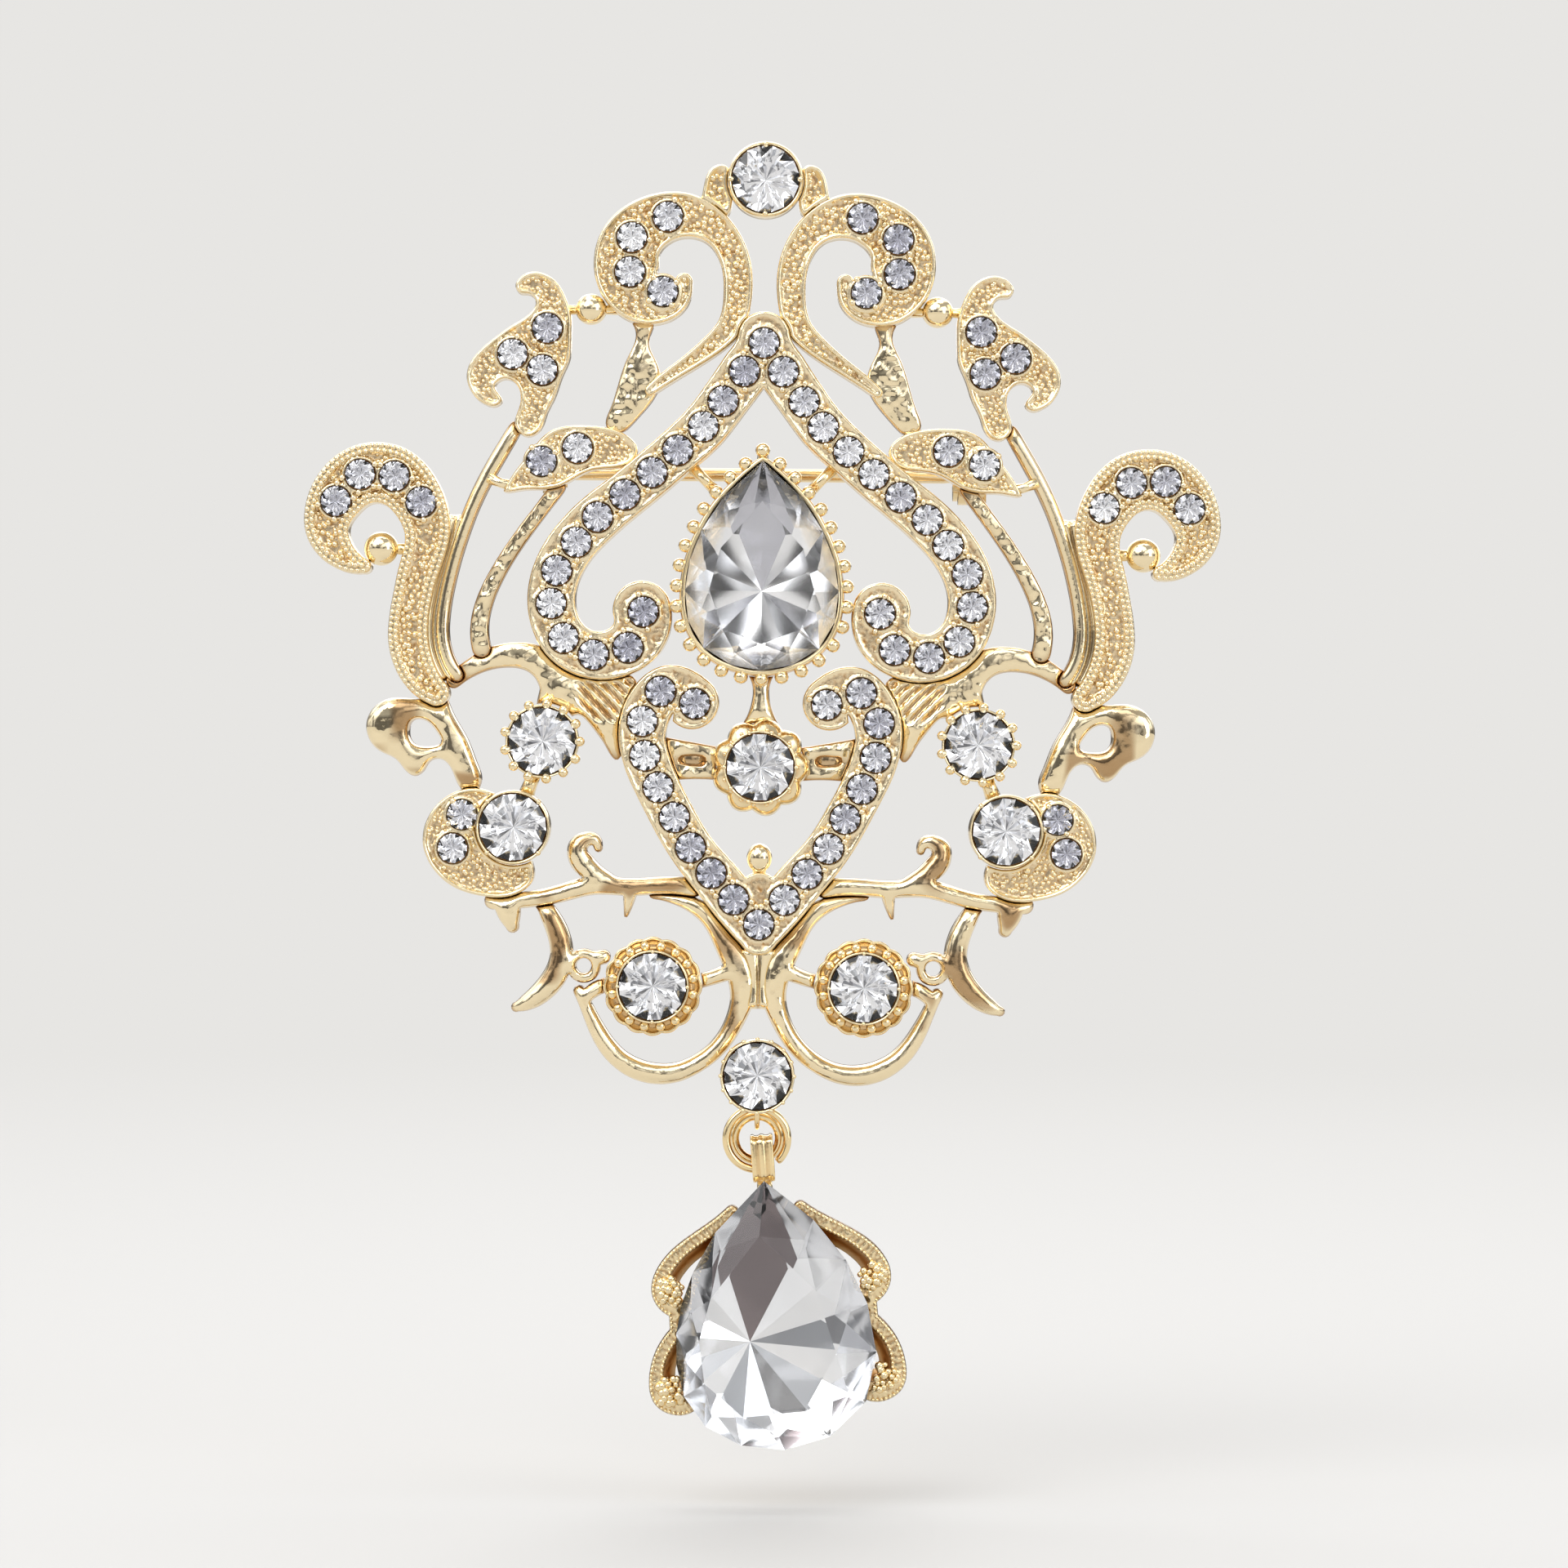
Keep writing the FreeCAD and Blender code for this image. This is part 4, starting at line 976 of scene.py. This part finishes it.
# ---- cut stones
def girdle(node):
    """Widest outline of a stone as even points, its level, and the stone's lowest and highest."""
    co, _ = drawn(node)
    levels, counts = np.unique(np.round(co[:, 2], 2), return_counts=True)
    size = [np.ptp(co[np.abs(co[:, 2] - w) < 0.02][:, 0]) if c > 4 else 0
            for w, c in zip(levels, counts)]
    level = levels[int(np.argmax(size))]
    ring = co[np.abs(co[:, 2] - level) < 0.02][:, :2]
    even = ray_outline(ring, middle(ring))(np.arange(240) * TURN / 240)
    tip = ring[np.argmax(ring[:, 1])]
    even[np.argmin(norm(even - tip, axis=1))] = tip
    return even, level, co[:, 2].min(), co[:, 2].max()


def ray_outline(ring, centre):
    """Function that gives the point of a ring at any turn about a centre."""
    rel = ring - centre
    turn, radius = np.arctan2(rel[:, 1], rel[:, 0]), norm(rel, axis=1)
    order = np.argsort(turn)

    def at(angle):
        wrapped = (np.asarray(angle) + pi) % TURN - pi
        r = np.interp(wrapped, turn[order], radius[order], period=TURN)
        return np.stack([centre[0] + r * np.cos(wrapped), centre[1] + r * np.sin(wrapped)], -1)
    return at


def cut_stone(glass, mirror, shade, edge, centre, levels, start):
    """Brilliant cut of any outline.  edge(turn) is its girdle, levels are (culet, girdle, table).
    The two pavilion facets under the tip go to shade instead of mirror: a darker foil there paints
    a dark reflection."""
    culet, rim, top = levels
    n = 8                                   # main facets
    table, star, waist = 0.68, 0.85, 0.6    # share of the way from the centre to the girdle
    outer = edge(start + np.arange(2 * n) * pi / n)
    every, even, odd = (np.arange(*span) for span in ((2 * n,), (0, 2 * n, 2), (1, 2 * n, 2)))
    half = 0.02 * (top - culet) + 0.02      # half the girdle's thickness

    def ring(share, w, picks):
        return lifted(centre + share * (outer[picks] - centre), w)

    parts = [ring(table, top, even), ring(star, rim + 0.56 * (top - rim), odd),
             ring(1.0, rim + half, every), ring(1.0, rim - half, every),
             ring(waist, rim - 0.66 * (rim - culet), odd), np.array([[*centre, culet]])]
    t, s, u, l, p, c = (sum(len(part) for part in parts[:k]) for k in range(6))
    crown = [tuple(range(n))]
    below = []
    for k in range(n):
        after, g, h, g2 = (k + 1) % n, 2 * k, 2 * k + 1, (2 * k + 2) % (2 * n)
        crown += [(t + k, s + k, t + after), (u + g, s + k, t + k), (t + after, s + k, u + g2),
                  (u + g, u + h, s + k), (u + h, u + g2, s + k),
                  (l + g, l + h, u + h, u + g), (l + h, l + g2, u + g2, u + h)]
        below += [(c, p + k, l + g), (l + g2, p + k, c), (l + g, p + k, l + h),
                  (l + h, p + k, l + g2)]
    glass.add(np.vstack(parts[:4]), crown)
    # the two facets under the tip get the darker foil, a painted dark reflection
    under_tip = [(c, p, l), (l, p + n - 1, c)]
    for piece, facets in ((mirror, [f for f in below if f not in under_tip]), (shade, under_tip)):
        piece.add(np.vstack(parts[3:]), [tuple(i - l for i in f) for f in facets])


def single_cut(glass, mirror, place, radius, levels, start):
    """Round cut: eight pairs of facets round the table, and a fluted pavilion."""
    culet, rim, top = levels
    points = np.array(around(16, radius, start))

    def ring(share, w, every=1):
        return lifted(place + share * points[::every], w)

    upper, lower = ring(1, rim + 0.03), ring(1, rim - 0.03)
    faces = [tuple(range(8))]
    for k in range(8):
        before, here, after = 8 + (2 * k - 1) % 16, 8 + 2 * k, 8 + 2 * k + 1
        faces += [(k, before, here), (k, here, after), (k, after, (k + 1) % 8)]
    faces += [(24 + i, 24 + j, 8 + j, 8 + i) for i, j in ringed(16)]
    glass.add(np.vstack([ring(0.5, top, every=2), upper, lower]), faces)
    flute = ring(0.55, rim - 0.5 * (rim - culet))
    flute[::2, 2] -= 0.07 * radius
    flute[1::2, 2] += 0.07 * radius
    mirror.add(np.vstack([lower, flute, [(*place, culet)]]),
               band(2, 16) + [(32, 16 + j, 16 + i) for i, j in ringed(16)])


def cut_stones(node, name, slot, backing, radius, levels, start, twist):
    """All round stones of a node; levels are relative to each table, and each stone is turned."""
    glass, mirror = Piece(), Piece()
    for k, (x, v, table) in enumerate(stone_places(node)):
        single_cut(glass, mirror, (x, v), radius, levels(table), start + twist * k)
    glass.build(name + "_crystals", slot, node, material=CRYSTAL, smooth=False)
    mirror.build(name + "_foils", slot, material=backing, smooth=False)


def pear(node, name, body, share, lean, backing, dusk):
    """Pear stone: culet at a share of its length from the tip, main facets about it."""
    ring, rim, low, high = girdle(node)
    tip, foot = ring[np.argmax(ring[:, 1])], ring[np.argmin(ring[:, 1])]
    axis = np.array([-sin(lean), cos(lean)])
    culet = tip - share * float((tip - foot) @ axis) * axis
    glass, mirror, shade = Piece(), Piece(), Piece()
    cut_stone(glass, mirror, shade, ray_outline(ring, culet), culet, (low + 0.1, rim, high - 0.4),
              pi / 2 + lean)
    glass.build(name, "pear_crystal", node, body, CRYSTAL, smooth=False)
    mirror.build(name + "_foil", "pear_crystal", None, body, backing, smooth=False)
    # darker foil under the tip: a painted dark reflection
    shade.build(name + "_dusk", "pear_crystal", None, body, dusk, smooth=False)


DROP_REST = 4.5            # degrees by which the drop hangs off plumb
cut_stones("round_stones", "round", "round_crystal", FOIL, ROUND_STONE,
           lambda table: (4.1, 5.9, 6.62), 0.3, 0.37)
for kind in MELEE:
    cut_stones(kind + "_melee", kind, "melee_crystal", MELEE_FOIL, SMALL_STONE,
               lambda table: (table - 0.9, table - 0.1, table + 0.2), 0.2, 0.61)
pear("pear_stone", "centre_pear", "frame", 0.62, 0.0, PEAR_FOIL, GREY_REFLECTION_FOIL)
pear("drop_stone", "drop_pear", "drop", 0.6, -radians(DROP_REST), DROP_FOIL, DARK_REFLECTION_FOIL)


# ---- pear cup
def pear_cup():
    """Cup of the centre stone: a bezel, a row of beads on posts, and two struts to the spade."""
    ring = girdle("pear_stone")[0]
    centre = middle(ring)
    piece = Piece()

    def grown(by):
        rel = ring - centre
        loop = resampled(ring[np.argsort(np.arctan2(rel[:, 1], rel[:, 0]))], 0.3)
        return loop - by * inward(loop)

    loops = [grown(by) for by in (-0.5, 0.0, 0.02, 0.12, 0.26, 0.34, 0.4, 0.3)]
    loops += [centre + share * (loops[1] - centre) for share in (0.97, 0.82)]
    levels = (4.6, 5.6, 6.0, 6.1, 6.08, 5.9, 4.7, 3.6, 3.1, 3.0)
    # painted shade at the seat and under the rim, a painted highlight on the rim
    tones = (0.1, 0.3, 0.9, 1, 1, 0.5, 0.1, 0.2, 0.4, 0.4)
    count = len(loops[0])
    last = (len(loops) - 1) * count
    piece.add(lifted(np.vstack(loops), np.repeat(levels, count)),
              band(len(loops), count) + [tuple(last + i for i in range(count))[::-1]],
              np.repeat(tones, count))

    row = grown(0.58)
    row = np.roll(row, -int(np.argmax(row[:, 1])), 0)
    posts = 30
    for place, _ in list(walked(row, count=posts))[1:posts]:
        out = (place - centre) / norm(place - centre)
        tube(piece, [(*(place - 0.5 * out), 4.4), (*(place - 0.1 * out), 5.0), (*place, 5.75)],
             [0.4, 0.34, 0.3], segments=10)
        bead(piece, *place, 5.8, 0.48)
    x, v = row[0] + (0, 0.15)
    tube(piece, [(x, v - 0.6, 4.4), (x, v - 0.1, 5.0), (x, v, 5.7)], [0.4, 0.34, 0.3], segments=12)
    bead(piece, x, v, 5.75, 0.5)
    for side in (-1, 1):
        tube(piece, [(side * 3.0, -1.5, 4.3), (side * 3.9, -0.6, 4.5), (side * 4.75, 0.25, 4.3)],
             [0.4, 0.34, 0.42])
    piece.build("pear_cup_set", "cup_gold", "pear_cup")


def accents():
    """Polished balls where scrolls meet."""
    piece = Piece()
    for points in islands("ball_accents"):
        x, v, w = middle(points)
        reach = np.ptp(points, axis=0) / 2
        reach[2] = min(reach[2], 1.1)
        bead(piece, x, v, w, reach, FINE_SPHERE)
        if abs(x) < 1:
            tube(piece, [(x, v, w - 0.4), (x, v - 1.9, w - 0.5)], [0.4, 0.5])
        elif v > 0:
            tube(piece, [(x - 1.9, v, 3.9), (x, v, 4.0), (x + 1.9, v, 3.9)], [0.34, 0.3, 0.34])
        else:
            tube(piece, [(x, v, 4.0), (x - copysign(2.0, x), v, 3.9)], [0.34, 0.4])
    piece.build("accent_balls", "polished_gold", "ball_accents")


pear_cup()
accents()


# ---- link rings and drop
RING_V = middle(drawn("jump_ring")[0])[1]
DROP_X = 0.3
DROP_RING = girdle("drop_stone")[0]
BAIL_HIGH, BAIL_LOW = RING_V + 0.3, RING_V - 2.9
BAIL_BACK, BAIL_FRONT, BAIL_WIDE = 1.46, 3.92, 1.5


def swung(x, v):
    """Point of the drop, given as drawn plumb, at the angle it rests at."""
    turn = radians(DROP_REST)
    dx, dv = x, v - RING_V
    return (DROP_X + dx * cos(turn) - dv * sin(turn),
            RING_V + dx * sin(turn) + dv * cos(turn))


def link_ring(node, angles, closed):
    """Round wire ring in the plane of the front, between two angles in degrees."""
    piece = Piece()
    low, high = box_of(node)
    wire = high[2] - low[2]
    radius = (high[0] - low[0] - wire) / 2
    turn = np.radians(np.linspace(*angles))[:120]
    line = [(radius * cos(t), RING_V + radius * sin(t), (low[2] + high[2]) / 2)
            for t in turn]
    radii = np.full(len(line), wire / 2)
    if not closed:
        radii[[0, -1]] *= 0.72
        radii[[1, -2]] *= 0.93
    tube(piece, line, radii, segments=20, closed=closed)
    piece.build(node + "_wire", "link_gold", node, body="rings")


def hanger():
    """Edge-on loop behind the base cup, soldered on by a foot."""
    piece = Piece()
    low, high = box_of("hanger_loop")
    hole, wire = 0.85, 0.35
    v, w = low[1] + hole + wire, low[2] + hole + wire
    line = [(0, v + dv, w + dw) for dv, dw in around(72, hole + wire / 2)]
    tube(piece, line, wire / 2, closed=True)
    lathed(piece, 0, v + hole + wire, [
        (0.3, high[2], 1), (0.4, high[2] - 0.15, 1), (0.42, w + 0.35, 1), (0.3, w + 0.2, 1),
        (0.0, w + 0.2, 1)], segments=24)
    piece.build("hanger_wire", "link_gold", "hanger_loop")


def bail():
    """Strap over the rings, raised along its edges and middle, with a neck to the tray."""
    piece = Piece()
    bend = 0.62
    path = []
    for cv, cw, first in ((BAIL_HIGH - bend, BAIL_FRONT - bend, 0),
                          (BAIL_HIGH - bend, BAIL_BACK + bend, 90),
                          (BAIL_LOW + bend, BAIL_BACK + bend, 180),
                          (BAIL_LOW + bend, BAIL_FRONT - bend, 270)):
        for t in np.radians(first + np.linspace(0, 90, 9)):
            path.append((cv, cw, sin(t), cos(t)))
    # (across, depth, painted light) round the strap's section: a painted highlight on the raised
    # edges and middle, painted shade in the grooves and down the sides
    half = [(0.0, 0.09, 1), (0.16, 0.06, 0.9), (0.3, 0.0, 0.5), (0.62, 0.0, 0.6),
            (0.76, 0.08, 1), (0.93, 0.07, 1), (1.0, 0.0, 0.7), (1.0, -0.3, 0.3), (0.85, -0.4, 0.2)]
    section = [(-x, d, t) for x, d, t in half[6:0:-1]] + half
    section += [(-0.85, -0.4, 0.2), (-1.0, -0.3, 0.3)]
    points = []
    for cv, cw, dv, dw in path:
        for across, depth, _ in section:
            reach = bend + depth - 0.09
            points.append((*swung(across * BAIL_WIDE / 2, cv + reach * dv), cw + reach * dw))
    piece.add(points, band(len(path), len(section), closed=True),
              np.tile([tone for _, _, tone in section], len(path)))
    neck = [(*swung(0, BAIL_LOW + dv), BAIL_BACK + dw)
            for dv, dw in ((0.05, 0.9), (-0.6, 1.05), (-1.35, 1.0))]
    tube(piece, neck, [0.5, 0.55, 0.3], segments=20)
    piece.build("drop_bail_strap", "link_gold", "drop_bail", body="drop")


def outside_stone(x, v):
    """Whether a point is clear of the drop stone."""
    centre = middle(DROP_RING)
    edge = ray_outline(DROP_RING, centre)(atan2(v - centre[1], x - centre[0]))
    return norm((x, v) - centre) > norm(edge - centre) + 0.1


def lace(p, far, along, film, seats):
    """Relief of the wings: notched strands that end in granulated lobes, with painted shade in the
    notches and between the grains.
    """
    wide = ramp(film, 0.5, 0.62)
    notch = 0.5 + 0.5 * np.cos(TURN * along / 0.42)
    strand = LACE_TOP - 0.32 + 0.3 * rounded(far, -0.1, 1.1) - 0.13 * notch * ramp(far, 0.08, 0.22)
    grain = pebbles(p, 0.33, 6.0)
    bed = LACE_TOP - 0.3 + 0.22 * grain + 0.2 * ramp(far, 0.1, 0.5)
    level = np.where(far <= 0.005, LACE_TOP - 0.45, strand * (1 - wide) + bed * wide)
    return level, (1 - 0.75 * notch) * (1 - wide) + (0.2 + 0.7 * grain) * wide


def nugget(piece, x, v, reach=1.0):
    """Cluster of grains at the end of a lobe, highest in the middle."""
    low, high = (x - reach, v - reach), (x + reach, v + reach)
    grid, size = strewn(low, high, 0.42, 0.24, (6.0, 8.0, 5.0))
    for (gx, gv), r in zip(grid, 0.19 + 0.16 * size):
        far = hypot(gx - x, gv - v) / reach
        place = swung(gx, gv)
        if far < 1 and outside_stone(*place):
            bead(piece, *place, 4.5 + 0.35 * (1 - far), r, TINY_SPHERE)


def wings():
    """Both wings of the drop, with the skin that runs from them in under the stone."""
    piece = Piece()
    outline, _ = casting(piece, "drop_lace", lace, LACE_BACK)
    milgrain(piece, outline, 0.14, 0.13, 0.3, LACE_TOP - 0.13, clear=outside_stone)
    for side in (-1, 1):
        for x, depth in ((6.8, 9.6), (7.1, 16.4)):
            nugget(piece, side * x, RING_V - depth)
    centre = middle(DROP_RING)
    for loop in outline.loops:
        out, count = -inward(loop), len(loop)
        towards = (out * (centre - loop)).sum(1) / norm(centre - loop, axis=1)
        width = 0.75 * ramp(towards, 0.15, 0.5)
        rows = [lifted(loop + share * width[:, None] * out, w)
                for share, w in ((0, 4.2), (0.4, 3.9), (1, 3.35), (1, 3.2), (0, 3.25))]
        rows[1][:, 2] -= 0.2 * ramp(width, 0, 0.5)
        faces = [(d, a, b, c) for a, b, c, d in band(5, count)]
        # painted shade on the skin that runs in under the stone, darkest in its dip
        piece.add(np.vstack(rows), faces, np.repeat([0.2, 0.0, 0.3, 0.3, 0.4], count))
    piece.build("drop_lace_cast", "lace_gold", "drop_lace", body="drop")


link_ring("jump_ring", (-48, 300, 120), closed=False)   # its ends meet at the lower right
link_ring("inner_ring", (0, 360, 121), closed=True)
hanger()
bail()
wings()

for node, thing in NODES.items():
    if not thing.hide_render:
        thing.data.materials.clear()
        thing.data.materials.append(GOLDS["pin_wire" if node == "pin_stem" else "findings_gold"])

# ---- floor, light and camera
BACKDROP = (0.80, 0.79, 0.77, 1)
FLOOR_GAP, FLOOR_HALF = 0.004, 9  # metres
VIEW_CENTRE, VIEW_WIDTH = (1.6, -20.9), 104.9  # (x, v) and width of the view, in mm
VIEW_FRONT = 4.5           # level w at which it is that wide
VIEW_ROLL = radians(0.53)
LENS, SENSOR = 120.0, 36.0


def stage_floor():
    """Pale floor that fades into the backdrop away from the brooch."""
    material, tree, shader = new_material("pale_floor")
    fill(tree, shader, Base_Color=(0.5, 0.49, 0.475, 1), Roughness=0.8)
    haze = grow(tree, "Emission", Color=BACKDROP)["Emission"]
    reach = grow(tree, "VectorMath", grow(tree, "TexCoord")["Object"], operation="LENGTH")["Value"]
    fade = grow(tree, "MapRange", Value=reach, From_Min=0.08, From_Max=0.6,
                interpolation_type="SMOOTHSTEP")["Result"]
    blended = grow(tree, "MixShader", fade, shader.outputs["BSDF"], haze)["Shader"]
    fill(tree, tree.nodes["Material Output"], Surface=blended)
    mesh = bpy.data.meshes.new("floor")
    far = FLOOR_HALF
    mesh.from_pydata([(-far, -far, 0), (far, -far, 0), (far, far, 0), (-far, far, 0)], [],
                     [(0, 1, 2, 3)])
    mesh.materials.append(material)
    floor = linked("floor", mesh)
    floor.location.z = cad_box[0].z - FLOOR_GAP


def softbox(name, place, size, power, colour=(1, 1, 1)):
    """Area light that faces the middle of the brooch."""
    data = bpy.data.lights.new(name, "AREA")
    data.shape = "RECTANGLE"
    data.size, data.size_y = size
    data.energy = power
    data.color = colour
    lamp = linked(name, data)
    lamp.location = place
    aim = Vector((0, 0, -0.02)) - Vector(place)
    lamp.rotation_euler = aim.to_track_quat("-Z", "Y").to_euler()


def studio():
    """Room with a bright ceiling and soft windows, hidden from the camera by the backdrop."""
    world = bpy.data.worlds.new("studio")
    bpy.context.scene.world = world
    world.use_nodes = True
    tree = world.node_tree
    axes = grow(tree, "SeparateXYZ", grow(tree, "TexCoord")["Generated"])
    height = grow(tree, "MapRange", Value=axes["Z"], From_Min=-1.0)["Result"]
    sky = colour_ramp(tree, height, (0.2, (0.26, 0.23, 0.20)), (0.9, (1.0, 1.0, 1.0)),
                      (0.42, (0.19, 0.175, 0.16)), (0.55, (0.28, 0.28, 0.29)),
                      (0.68, (0.8, 0.82, 0.85)))
    windows = grow(tree, "MapRange", Value=noise(tree, 2.2, 1.0, "Generated"), From_Min=0.44,
                   From_Max=0.58, To_Min=0.5, To_Max=2.0, interpolation_type="SMOOTHSTEP")
    room = grow(tree, "VectorMath", sky, Scale=windows["Result"], operation="SCALE")["Vector"]
    seen = grow(tree, "LightPath")["Is Camera Ray"]
    chosen = grow(tree, "Mix", data_type="RGBA", Factor=seen, A=room, B=BACKDROP)["Result"]
    fill(tree, tree.nodes["Background"], Color=chosen, Strength=1.0)


stage_floor()
softbox("key", (-0.35, -0.5, 0.5), (0.5, 0.4), 2.3)
softbox("fill", (0.55, -0.5, 0.15), (0.25, 0.6), 0.9, colour=(0.94, 0.97, 1.0))
softbox("top", (0.0, 0.05, 0.7), (0.7, 0.4), 1.35)
softbox("rim", (0.1, 0.7, 0.25), (0.6, 0.4), 1.2)
studio()
bpy.context.scene.view_settings.view_transform = "Standard"

lens = bpy.data.cameras.new("camera")
lens.lens, lens.sensor_width, lens.clip_start = LENS, SENSOR, 0.01
camera = linked("camera", lens)
away = VIEW_WIDTH * LENS / SENSOR
place = (VIEW_CENTRE[0] * MM, -(away + VIEW_FRONT) * MM, VIEW_CENTRE[1] * MM)
camera.matrix_world = (Matrix.Translation(place) @ Matrix.Rotation(-VIEW_ROLL, 4, "Y")
                       @ Matrix.Rotation(pi / 2, 4, "X"))
bpy.context.scene.camera = camera
